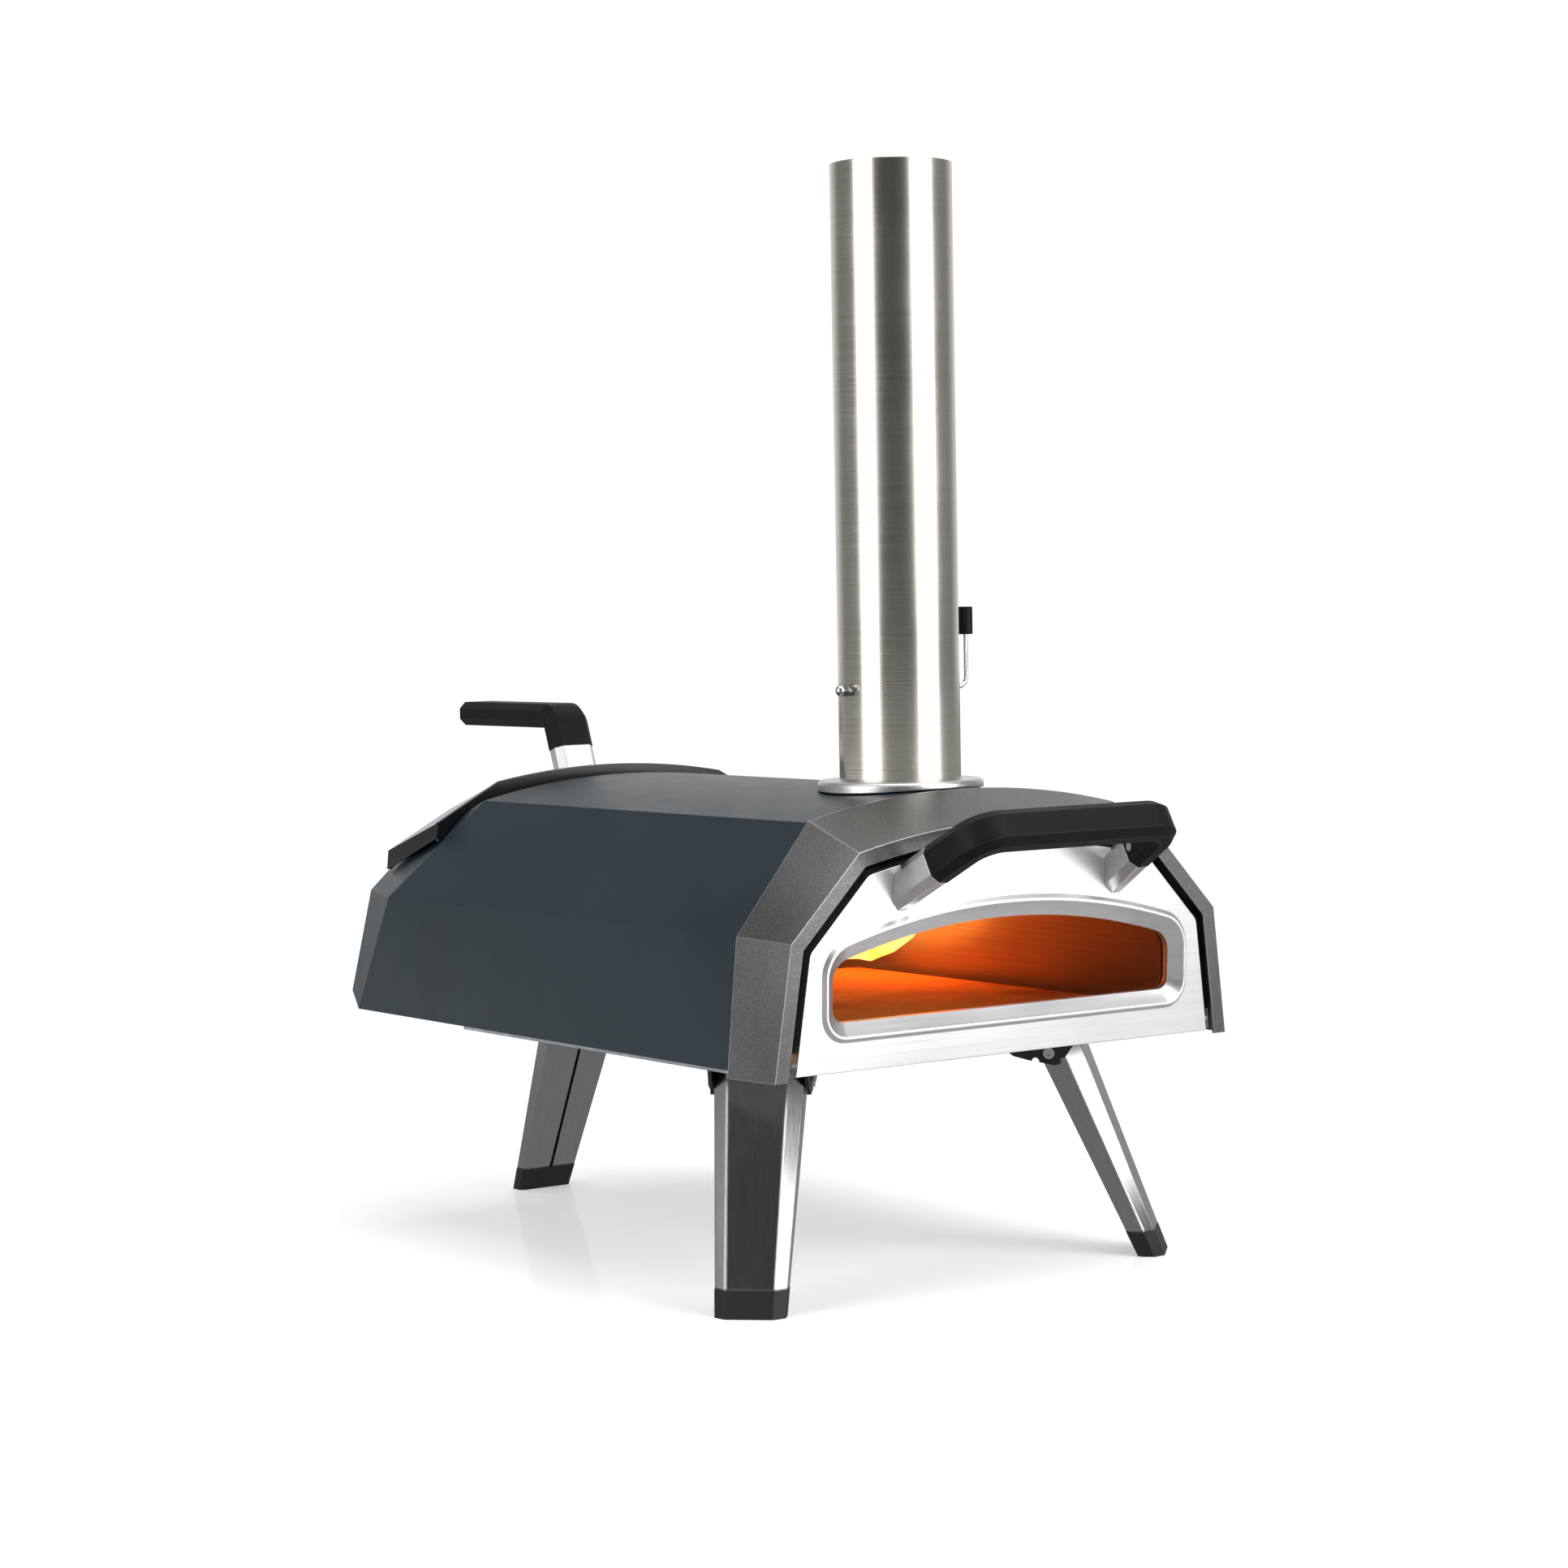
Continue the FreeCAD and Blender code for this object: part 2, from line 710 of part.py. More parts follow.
def fuel_box():
    """Fire box behind the chamber, open to the fuel port above and to the flame port."""
    front = size("liner_rear") + 2.0
    rear = size("hood_end") - 6.0
    body = open_box("fuel_box", 112.0, front, rear, 186.0, 284.0, 1.2)
    port = add_sketch(body, "port", "XZ_Plane", offset=-front - 20)
    outline, arcs = rounded_corners([(-95, 205), (95, 205), (95, 278), (-95, 278)], 8.0)
    draw(port, outline, arcs)
    cut(body, port, 40.0, back=True)
    vent = add_sketch(body, "vent", "XZ_Plane", offset=-rear + 20)
    draw_box(vent, -60, 196, 60, 236)
    cut(body, vent, 40.0)
    return keep(body)


def fuel_tray():
    """Loose ash pan under the grate."""
    return keep(open_box("fuel_tray", 104.0, 460.0, 572.0, 187.4, 206.0, 1.2))


def fuel_grate():
    """Slotted steel grate that the fuel lies on, resting on the ash pan's rim."""
    body = new_body("fuel_grate")
    plate = add_sketch(body, "plate", "XY_Plane", offset=206.0)
    draw_box(plate, -104.0, 460.0, 104.0, 572.0)
    pad(body, plate, 2.0)
    slots = add_sketch(body, "slots", "XY_Plane", offset=208.0)
    pitch = 16.0
    for column in range(-5, 6):
        for row_start in (470.0, 522.0):
            draw_slot(slots, column * pitch, row_start, row_start + 40.0, 3.0)
    cut(body, slots, 2.0)
    return keep(body)


def draw_slot(sketch, x, y_low, y_high, radius):
    """Slot with round ends, running along the sketch's vertical axis."""
    low_left = Vector(x - radius, y_low, 0)
    low_right = Vector(x + radius, y_low, 0)
    high_left = Vector(x - radius, y_high, 0)
    high_right = Vector(x + radius, y_high, 0)
    edges = [Part.LineSegment(low_right, high_right),
             sketch_arc(high_right, Vector(x, y_high + radius, 0), high_left),
             Part.LineSegment(high_left, low_left),
             sketch_arc(low_left, Vector(x, y_low - radius, 0), low_right)]
    ends = [(point.x, point.y) for point in (high_right, high_left, low_left, low_right)]
    join_edges(sketch, edges, ends)


def rear_panel():
    """Flat back plate inside the hood's rear edge, with the burner opening."""
    outline = named_profile("hood").inset(size("shell_sheet") + 0.2)
    body = new_body("rear_panel")
    plate = add_sketch(body, "plate", "XZ_Plane", offset=-size("hood_end") + 3.0)
    draw(plate, outline.vertices(), {2: outline.crown_point()})
    pad(body, plate, 1.5, back=True)
    opening = add_sketch(body, "opening", "XZ_Plane", offset=-size("hood_end") + 10.0)
    vertices, arcs = rounded_corners([(-60, 196), (60, 196), (60, 236), (-60, 236)], 6.0)
    draw(opening, vertices, arcs)
    for side in (-1, 1):
        for height in (204.0, 228.0):
            draw_circle(opening, side * 70.0, height, 2.1)
    cut(body, opening, 20.0)
    return keep(body)


def burner_cover():
    """Vented blanking plate over the burner opening."""
    face = size("hood_end") - 1.5
    body = new_body("burner_cover")
    plate = add_sketch(body, "plate", "XZ_Plane", offset=-face)
    vertices, arcs = rounded_corners([(-78, 190), (78, 190), (78, 242), (-78, 242)], 8.0)
    draw(plate, vertices, arcs)
    pad(body, plate, 1.5, back=True)
    vents = add_sketch(body, "vents", "XZ_Plane", offset=-face + 10.0)
    for column in range(-4, 5):
        draw_slot(vents, column * 12.0, 206.0, 226.0, 2.5)
    for side in (-1, 1):
        for height in (204.0, 228.0):
            draw_circle(vents, side * 70.0, height, 2.1)
    cut(body, vents, 20.0)
    return keep(body)


def cover_screws():
    """Four pan-head screws that hold the burner cover."""
    face = size("hood_end")
    screws = []
    for side in (-1, 1):
        for height in (204.0, 228.0):
            at = Vector(side * 70.0, face, height)
            shank = Part.makeCylinder(2.0, 5.0, at, -Y_AXIS)
            head = Part.makeCylinder(4.0, 2.4, at, Y_AXIS)
            screws.append(shank.fuse(head).removeSplitter())
    return keep(shaped("burner_cover_screws", Part.makeCompound(screws)))


# ---------------------------------------------------------------- chimney


def arch_cutter(radius_gain):
    """Solid cylinder that follows the shell's crown, grown by radius_gain."""
    outer = named_profile("shell")
    radius = outer.arch_radius()
    return Part.makeCylinder(radius + radius_gain, 200,
                             Vector(0, 20, outer.crown - radius), Y_AXIS)


def ring(inner, outer, low, high):
    """Upright ring about the chimney's axis."""
    at = Vector(0, size("chimney_at"), low)
    return Part.makeCylinder(outer, high - low, at).cut(
        Part.makeCylinder(inner, high - low, at))


def flange_gasket():
    """Thin fibre gasket between the flange and the arched roof."""
    blank = ring(size("spigot_outer") + 0.5, size("flange_radius") - 2.5, 335, 360)
    return keep(shaped("flange_gasket",
                       blank.common(arch_cutter(1.2)).cut(arch_cutter(0.0))))


def chimney_flange():
    """Rounded cast flange, its underside saddled to the roof."""
    top = size("flange_top")
    blank = ring(size("spigot_outer"), size("flange_radius"), 335, top)
    rim = [edge for edge in blank.Edges
           if abs(edge.BoundBox.ZMin - top) < 1e-6 and edge.BoundBox.XLength > 100]
    blank = blank.makeFillet(3.4, rim)
    return keep(shaped("chimney_flange", blank.cut(arch_cutter(1.2))))


def chimney_spigot():
    """Fixed collar that the chimney slides over, with a lip under the liner's roof."""
    outer = size("spigot_outer")
    wall = 1.0
    liner_crown = liner_profile().crown
    low = liner_crown - 9.0
    high = size("flange_top") + size("spigot_rise")
    return keep(shaped("chimney_spigot", ring(outer - wall, outer, low, high)))


def chimney_tube():
    """Plain stainless tube with two holes for the damper spindle."""
    body = new_body("chimney_tube")
    section = add_sketch(body, "section", "XY_Plane", offset=size("flange_top"))
    draw_circle(section, 0, size("chimney_at"), size("chimney_outer"), "chimney_outer")
    draw_circle(section, 0, size("chimney_at"), size("chimney_outer") - size("chimney_wall"))
    pad(body, section, size("chimney_top") - size("flange_top"))
    holes = add_sketch(body, "holes", "YZ_Plane")
    draw_circle(holes, size("chimney_at"), size("damper_height"),
                size("spindle_radius") + 0.05)
    cut(body, holes, 200.0, symmetric=True)
    return keep(body)


def damper_frame():
    """Placement of the damper's local frame: its spindle lies along local X."""
    return Placement(Vector(0, size("chimney_at"), size("damper_height")), Rotation())


def damper_plate():
    """Round butterfly plate with a saddle along its middle for the spindle."""
    body = new_body("damper_plate")
    disc = add_sketch(body, "disc", "XZ_Plane")
    draw_circle(disc, 0, 0, size("chimney_outer") - size("chimney_wall") - 1.5)
    pad(body, disc, 1.2, symmetric=True)
    saddle = add_sketch(body, "saddle", "YZ_Plane")
    draw_circle(saddle, 0, 0, size("spindle_radius") + 1.2)
    pad(body, saddle, 56.0, symmetric=True)
    bore = add_sketch(body, "bore", "YZ_Plane")
    draw_circle(bore, 0, 0, size("spindle_radius"))
    cut(body, bore, 100.0, symmetric=True)
    return keep(body, damper_frame())


def damper_spindle():
    """Rod through the chimney, from the acorn nut's side to the lever's boss."""
    body = new_body("damper_spindle")
    rod = add_sketch(body, "rod", "YZ_Plane", offset=-52.0)
    draw_circle(rod, 0, 0, size("spindle_radius"), "spindle_radius")
    pad(body, rod, 100.0)
    return keep(body, damper_frame())


def damper_nut():
    """Spacer and acorn nut on the spindle's left end."""
    start = -size("chimney_outer") - 0.4
    spacer = Part.makeCylinder(4.2, 4.0, Vector(start, 0, 0), -X_AXIS)
    body = hexagon_prism(4.6, 4.2, Vector(start - 4.0, 0, 0))
    dome = Part.makeSphere(3.9, Vector(start - 8.2, 0, 0))
    dome = dome.common(Part.makeCylinder(3.9, 8, Vector(start - 8.2, 0, 0), -X_AXIS))
    bore = Part.makeCylinder(size("spindle_radius"), 8.3, Vector(start, 0, 0), -X_AXIS)
    solid = spacer.fuse([body, dome]).cut(bore).removeSplitter()
    return keep(shaped("damper_nut", solid), damper_frame())


def hexagon_prism(across_corners, length, at):
    """Hexagonal prism along -X from at."""
    points = [at + Vector(0, across_corners * math.cos(math.radians(60 * k)),
                          across_corners * math.sin(math.radians(60 * k))) for k in range(7)]
    return Part.Face(Part.makePolygon(points)).extrude(Vector(-length, 0, 0))


def lever_path():
    """Bent rod's centre line: out along the spindle, then up to the knob."""
    bend = 7.0
    start = Vector(size("chimney_outer") + 3.5, 0, 0)
    corner = Vector(size("lever_reach"), 0, 0)
    end = Vector(size("lever_reach"), 0, 44.0)
    bend_start = corner - X_AXIS * bend
    bend_end = corner + Z_AXIS * bend
    middle = corner + Vector(-bend, 0, bend) + Vector(1, 0, -1).normalize() * bend
    return Part.Wire([Part.LineSegment(start, bend_start).toShape(),
                      Part.Arc(bend_start, middle, bend_end).toShape(),
                      Part.LineSegment(bend_end, end).toShape()])


def damper_lever():
    """Round rod lever with a boss that fits over the spindle's right end."""
    radius = size("lever_radius")
    path = lever_path()
    start = path.Vertexes[0].Point
    circle = Part.Wire([Part.Circle(start, X_AXIS, radius).toShape()])
    rod = path.makePipeShell([circle], True, True)
    boss = Part.makeCylinder(4.4, 7.6, Vector(size("chimney_outer") + 0.4, 0, 0), X_AXIS)
    bore = Part.makeCylinder(size("spindle_radius"), 48.0, Vector(0, 0, 0), X_AXIS)
    return keep(shaped("damper_lever", boss.fuse(rod).cut(bore).removeSplitter()),
                damper_frame())


def damper_knob():
    """Cylindrical knob pressed on the lever's tip."""
    body = new_body("damper_knob")
    base = 37.5
    outline = add_sketch(body, "outline", "XY_Plane", offset=base)
    draw_circle(outline, size("lever_reach"), 0, size("knob_radius"), "knob_radius")
    knob = pad(body, outline, size("knob_length"), alias="knob_length")
    DOC.recompute()
    ease = body.newObject("PartDesign::Fillet", "knob_ease")
    rims = [f"Edge{number}" for number, edge in enumerate(knob.Shape.Edges, start=1)
            if edge.BoundBox.ZLength < 1e-3]
    ease.Base = (knob, rims)
    ease.Radius = 1.0
    body.Tip = ease
    bore = add_sketch(body, "bore", "XY_Plane", offset=44.0)
    draw_circle(bore, size("lever_reach"), 0, size("lever_radius"))
    cut(body, bore, 10.0)
    return keep(body, damper_frame())


# ---------------------------------------------------------------- door


def door_frame():
    """Placement of the door's local frame: upright, then leaned with the oven's face."""
    tilt = Rotation(X_AXIS, size("frame_tilt"))
    lean = size("frame_bottom") * math.tan(math.radians(size("frame_tilt")))
    return Placement(Vector(0, lean + size("door_recess"), 0), tilt)


def door_outline():
    """Door edge: the frame's opening less the running gap."""
    frame = named_profile("frame")
    inner = frame.inset(size("frame_rim") + size("door_gap"))
    return inner.with_bottom(size("frame_bottom") + size("door_lift"))


def window_outline(grow):
    """Window opening grown by grow: flat bottom, arched top, four rounded corners."""
    half = size("window_half") + grow
    low = size("window_bottom") - grow
    crown = size("window_crown") + grow * 1.2
    arch = size("window_arch") + grow
    corner = size("window_corner") + grow * 0.8
    foot = size("window_foot_corner") + grow * 0.8
    arch_centre = Vector(0, crown - arch, 0)
    rise = math.sqrt((arch - corner) ** 2 - (half - corner) ** 2)
    corner_centre = Vector(half - corner, arch_centre.y + rise, 0)
    outward = (corner_centre - arch_centre).normalize()
    tangent = corner_centre + outward * corner
    corner_mid = corner_centre + (outward + X_AXIS).normalize() * corner
    bulge = foot - foot * math.sqrt(0.5)
    vertices = [(-half, low + foot), (-half, corner_centre.y), (-tangent.x, tangent.y),
                (tangent.x, tangent.y), (half, corner_centre.y), (half, low + foot),
                (half - foot, low), (foot - half, low)]
    arcs = {1: (-corner_mid.x, corner_mid.y), 2: (0.0, crown),
            3: (corner_mid.x, corner_mid.y),
            5: (half - bulge, low + bulge), 7: (bulge - half, low + bulge)}
    return vertices, arcs


def window_sketch(body, name, y, grow):
    """The window's outline, grown, in the door's own plane Y = y."""
    sketch = add_sketch(body, name, "XZ_Plane", offset=-y)
    draw(sketch, *window_outline(grow))
    return sketch


def door_panel():
    """Stainless tray-shaped door skin: a raised ring that funnels in to the window."""
    outline = door_outline()
    sheet = size("door_sheet")
    height = size("ring_height")
    width = size("ring_width")
    funnel = size("funnel_depth")
    body = new_body("door_panel")
    plate = add_sketch(body, "plate", "XZ_Plane")
    draw(plate, *rounded_bends(outline, size("door_bend")))
    pad(body, plate, size("door_depth"), alias="door_depth", back=True)
    tray = add_sketch(body, "tray", "XZ_Plane", offset=-size("door_depth"))
    inner = outline.inset(sheet).with_bottom(outline.bottom + sheet)
    draw(tray, *rounded_bends(inner, size("door_bend") - sheet))
    cut(body, tray, size("door_depth") - sheet, back=True)
    loft(body, "Additive", window_sketch(body, "foot", 0.2, width + 1.5),
         window_sketch(body, "crest", -height, width - 1.0))
    loft(body, "Subtractive", window_sketch(body, "under_foot", sheet + 0.1, width + 0.6),
         window_sketch(body, "under_crest", sheet - height, width - 2.0))
    loft(body, "Additive", window_sketch(body, "funnel_top", -height, width - 1.0),
         window_sketch(body, "funnel_end", size("glass_depth"), sheet))
    loft(body, "Subtractive", window_sketch(body, "mouth", -height - 0.1, width - 2.5),
         window_sketch(body, "lip", funnel, 0.0))
    cut(body, window_sketch(body, "jamb", funnel - 0.1, 0.0), 20.0)
    bore_hinge(body)
    return keep(body, door_frame())


def bore_hinge(body):
    """Drill the hinge pins' holes through both side walls."""
    pins = add_sketch(body, "pins", "YZ_Plane")
    draw_circle(pins, size("hinge_set_back"), size("hinge_height"), size("hinge_pin"))
    cut(body, pins, 500.0, symmetric=True)


def door_glass():
    """Ceramic-glass window held against the funnel's inner end."""
    body = new_body("door_glass")
    outline = window_sketch(body, "outline", size("glass_depth"), 5.0)
    pad(body, outline, size("glass_thick"), alias="glass_thick", back=True)
    return keep(body, door_frame())


def inner_panel_outline():
    """Edge of the plates that close the door's back."""
    outline = door_outline()
    return outline.inset(size("door_sheet") + 0.3).with_bottom(outline.bottom + 2.0)


def door_inner_panel():
    """Inner steel plate that closes the back of the door around the glass."""
    body = new_body("door_inner_panel")
    plate = add_sketch(body, "plate", "XZ_Plane", offset=-size("door_depth") + 1.4)
    draw(plate, *rounded_bends(inner_panel_outline(), size("door_bend") - 1.8))
    pad(body, plate, 1.4, back=True)
    cut(body, window_sketch(body, "window", 5.0, 5.4), 40.0)
    return keep(body, door_frame())


def glass_retainer():
    """Thin frame that clamps the glass from behind."""
    body = new_body("door_glass_retainer")
    pad(body, window_sketch(body, "outline", size("door_depth"), 11.0), 1.2, back=True)
    cut(body, window_sketch(body, "window", 5.0, 1.0), 40.0)
    return keep(body, door_frame())


def retainer_screws():
    """Small screws around the glass retainer."""
    outer = window_outline(8.2)[0]
    height = (outer[0][1] + outer[1][1]) / 2
    spots = [(-90.0, outer[6][1]), (0.0, outer[6][1]), (90.0, outer[6][1]),
             (-80.0, size("window_crown") + 3.3), (80.0, size("window_crown") + 3.3),
             (outer[0][0], height), (outer[5][0], height)]
    screws = []
    for x, z in spots:
        head = Part.makeCylinder(2.4, 1.4, Vector(x, size("door_depth") + 1.2, z), Y_AXIS)
        screws.append(head)
    return keep(shaped("door_retainer_screws", Part.makeCompound(screws)), door_frame())


def door_insulation():
    """Fibre filling between the door's two skins, around the window."""
    outline = door_outline().inset(size("door_sheet") + 2.0).with_bottom(184.0)
    body = new_body("door_insulation")
    slab = add_sketch(body, "slab", "XZ_Plane", offset=-size("door_sheet") - 0.3)
    draw(slab, outline.vertices(), {2: outline.crown_point()})
    pad(body, slab, size("door_depth") - size("door_sheet") - 2.0, back=True)
    cut(body, window_sketch(body, "window", 0.0, size("ring_width") + 4.0), 30.0)
    return keep(body, door_frame())


def door_seal():
    """Black rope seal lining the frame behind the door's edge."""
    outline = door_outline()
    body = new_body("door_seal")
    outer = outline.inset(-size("door_gap") + 0.5).with_bottom(190.0)
    inner = outline.inset(7.0).with_bottom(190.0)
    section = add_sketch(body, "section", "XZ_Plane", offset=-size("door_depth") - 0.8)
    vertices, arcs = arch_band(outer, inner)
    draw(section, vertices, arcs)
    pad(body, section, 6.0, back=True)
    return keep(body, door_frame())


def hinge_pins():
    """Two short pins, one in each lower corner of the door."""
    pins = []
    half = door_outline().half_bottom
    for side in (-1, 1):
        start = Vector(side * (half - 6.0), size("hinge_set_back"), size("hinge_height"))
        pins.append(Part.makeCylinder(size("hinge_pin"), 12.5, start, X_AXIS * side))
    return keep(shaped("door_hinge_pins", Part.makeCompound(pins)), door_frame())


def hinge_ears():
    """Angle brackets on the frame's side walls that carry the door's pins."""
    ears = []
    inside = door_outline().half_bottom + 3.4
    wall = 198.8
    axis_y = size("hinge_set_back")
    low = size("hinge_height") - 6.0
    for side in (-1, 1):
        plate = Part.makeBox(2.5, 19.0, 14.0, Vector(inside, axis_y - 6.0, low))
        flange = Part.makeBox(wall - inside, 2.5, 14.0, Vector(inside, axis_y + 10.5, low))
        start = Vector(0, axis_y, size("hinge_height"))
        bore = Part.makeCylinder(size("hinge_pin") + 0.05, 250.0, start, X_AXIS)
        ear = plate.fuse(flange).removeSplitter().cut(bore)
        if side < 0:
            ear = ear.mirror(Vector(), X_AXIS)
        ears.append(ear)
    return keep(shaped("door_hinge_ears", Part.makeCompound(ears)), door_frame())


def handle_frame():
    """Placement of the door handle: its arms point out and up from the door's face."""
    at = Placement(Vector(0, 0, size("handle_base")), Rotation(X_AXIS, -size("handle_rise")))
    return door_frame().multiply(at)


def handle_section(width):
    """Section of a handle in its own plane: grip_thick across, width up."""
    return octagon(size("grip_thick"), width, size("grip_chamfer"))


def section_wire(points, at, across, up):
    """Closed wire of 2-D points placed at a point with two given directions."""
    placed = [at + across * x + up * y for x, y in points]
    return Part.makePolygon(placed + [placed[0]])


def toe_in():
    """Sideways shift of a handle arm per unit of its length."""
    return math.tan(math.radians(size("handle_toe_in")))


def door_handle_posts():
    """Two chamfered aluminium posts that carry the door's grip."""
    posts = []
    face_cut = Part.makeBox(400, 200, 400, Vector(-200, 0, -200))
    face_cut.rotate(Vector(0, 0, 0), X_AXIS, size("handle_rise"))
    for side in (-1, 1):
        heading = Vector(-side * toe_in(), -1, 0).normalize()
        start = Vector(side * size("handle_post_x"), 0, 0) - heading * 25.0
        across = heading.cross(Z_AXIS)
        wire = section_wire(handle_section(size("door_grip_width")), start, across, Z_AXIS)
        post = Part.Face(wire).extrude(heading * (size("handle_post_length") + 25.0))
        posts.append(post.cut(face_cut))
    return keep(shaped("door_handle_posts", Part.makeCompound(posts)), handle_frame())


def door_handle_path():
    """Centre line of the black grip, from one post's end round to the other's."""
    radius = size("handle_corner")
    ends = []
    bends = []
    for side in (-1, 1):
        heading = Vector(-side * toe_in(), -1, 0).normalize()
        base = Vector(side * size("handle_post_x"), 0, 0)
        end = base + heading * size("handle_post_length")
        corner = base + heading * (size("handle_reach") / -heading.y)
        ends.append(end)
        bends.append(round_corner(end, corner, corner - X_AXIS * side, radius))
    left, right = bends
    return Part.Wire([Part.LineSegment(ends[0], left[0]).toShape(),
                      Part.Arc(*left).toShape(),
                      Part.LineSegment(left[2], right[2]).toShape(),
                      Part.Arc(*reversed(right)).toShape(),
                      Part.LineSegment(right[0], ends[1]).toShape()])


def round_corner(before, corner, after, radius):
    """Start, middle and end of the arc that rounds the corner between two straights."""
    back = (before - corner).normalize()
    onward = (after - corner).normalize()
    half_angle = back.getAngle(onward) / 2
    tangent = radius / math.tan(half_angle)
    bisector = (back + onward).normalize()
    middle = corner + bisector * (radius / math.sin(half_angle) - radius)
    return corner + back * tangent, middle, corner + onward * tangent


def door_handle_grip():
    """Black moulded bar that joins the two posts."""
    path = door_handle_path()
    start = path.Vertexes[0].Point
    heading = Vector(toe_in(), -1, 0).normalize()
    across = heading.cross(Z_AXIS)
    wire = section_wire(handle_section(size("door_grip_width") + 0.8), start, across, Z_AXIS)
    return keep(shaped("door_handle_grip", path.makePipeShell([wire], True, False)),
                handle_frame())


def door_handle_screws():
    """Pan-head screws on the grip's inner sides, just past each post's end."""
    screws = []
    for side in (-1, 1):
        heading = Vector(-side * toe_in(), -1, 0).normalize()
        at = Vector(side * size("handle_post_x"), 0, 0) + heading * (size("handle_post_length") + 7.0)
        inward = heading.cross(Z_AXIS) * side
        seat = at + inward * (size("grip_thick") / 2)
        screws.append(Part.makeCylinder(3.0, 1.4, seat, inward))
    return keep(shaped("door_handle_screws", Part.makeCompound(screws)), handle_frame())


# ---------------------------------------------------------------- fuel hatch


def lid_outlines(drop=0.0):
    """Outlines of the hatch lid's front lip and rear edge, inset by drop."""
    front = Profile(163.5, 304.5, 162.0, 316.3, 105.5, 346.0, 355.5)
    rear = Profile(163.5, 276.5, 162.0, 291.3, 105.5, 321.0, 330.5)
    return front.inset(drop), rear.inset(drop)


def hood_roof(y, gap):
    """Height of the hood's top surface at depth y, raised by gap, as a function of x."""
    front = named_profile("shell")
    rear = named_profile("hood")

    def height(x):
        top = front.height_at(x)
        fold = fold_depth(top)
        share = max(0.0, (y - fold) / (size("hood_end") - fold))
        return top * (1 - share) + rear.height_at(x) * share + gap

    return height


def fuel_hatch_lid():
    """Arched lid over the fuel port: raised lip at the front, sloping to the rear."""
    front_y = size("lid_front")
    rear_y = size("lid_rear")
    front, rear = lid_outlines()
    front_inner, rear_inner = lid_outlines(size("lid_sheet"))
    top = ruled_sheet(edges_along(front, front_y), edges_along(rear, rear_y),
                      edges_along(front_inner, front_y), edges_along(rear_inner, rear_y))
    front_wall = lid_wall(front.inset(0.05), front_y, 1.8)
    rear_wall = lid_wall(rear.inset(0.05), rear_y, 3.2)
    return keep(shaped("fuel_hatch_lid",
                       top.fuse([front_wall.extrude(Y_AXIS * 2.5),
                                 rear_wall.extrude(Y_AXIS * -2.5)]).removeSplitter()))


def lid_wall(outline, y, gap):
    """End wall of the lid: its lower edge follows the hood's top at a small gap."""
    roof = hood_roof(y, gap)
    foot = outline.half_low - 1.0
    bend = size("shell_half_up")
    under = [(foot, roof(foot)), (bend, roof(bend)), (-bend, roof(bend)), (-foot, roof(foot))]
    vertices = outline.vertices()
    vertices[0] = (-foot - 0.9, roof(foot) + 0.5)
    vertices[-1] = (foot + 0.9, roof(foot) + 0.5)
    arcs = {2: outline.crown_point(), len(vertices) + 1: (0.0, roof(0.0))}
    return planar_face(vertices + under, arcs, y)


def planar_face(vertices, arcs, y):
    """Face in the plane Y = y bounded by a closed outline."""
    edges = []
    count = len(vertices)
    for index, start in enumerate(vertices):
        end = vertices[(index + 1) % count]
        start_point = Vector(start[0], y, start[1])
        end_point = Vector(end[0], y, end[1])
        if index in arcs:
            middle = Vector(arcs[index][0], y, arcs[index][1])
            edges.append(Part.Arc(start_point, middle, end_point).toShape())
        else:
            edges.append(Part.LineSegment(start_point, end_point).toShape())
    return Part.Face(Part.Wire(edges))


def hatch_insulation():
    """Fibre plug under the lid, which drops into the fuel port."""
    half = size("fuel_port_half") - 3.0
    front = size("fuel_port_front") + 3.0
    depth = size("fuel_port_rear") - size("fuel_port_front") - 6.0
    block = Part.makeBox(2 * half, depth, 60, Vector(-half, front, 292.0))
    return keep(shaped("hatch_insulation", block.common(hatch_roof(size("lid_sheet") + 0.1))))


def hatch_roof(drop):
    """Solid under the lid's outer surface, lowered by drop."""
    sections = []
    for outline, y in zip(lid_outlines(drop), (size("lid_front"), size("lid_rear"))):
        deep = Profile(outline.half_bottom, 250.0, outline.half_low, outline.low,
                       outline.half_up, outline.up, outline.crown)
        sections.append(planar_face(deep.vertices(), {2: deep.crown_point()}, y).OuterWire)
    return Part.makeLoft(sections, True, True)


def hatch_axis():
    """Direction of the hatch's post: square to the sloping lid."""
    lean = math.radians(size("hatch_lean"))
    return Vector(0, math.sin(lean), math.cos(lean))


def hatch_post_point(height):
    """Point on the post's centre line at a given height."""
    base = Vector(0, size("hatch_post_y"), size("hatch_post_z"))
    axis = hatch_axis()
    return base + axis * ((height - base.z) / axis.z)


def hatch_handle_post():
    """Chamfered aluminium post on the lid."""
    axis = hatch_axis()
    section = octagon(size("hatch_grip_width"), size("grip_thick"), size("grip_chamfer"))
    end = hatch_post_point(size("hatch_junction"))
    wire = section_wire(section, end, X_AXIS, axis.cross(X_AXIS))
    post = Part.Face(wire).extrude(axis * -45.0)
    return keep(shaped("hatch_handle_post", post.cut(hatch_roof(0.0))))


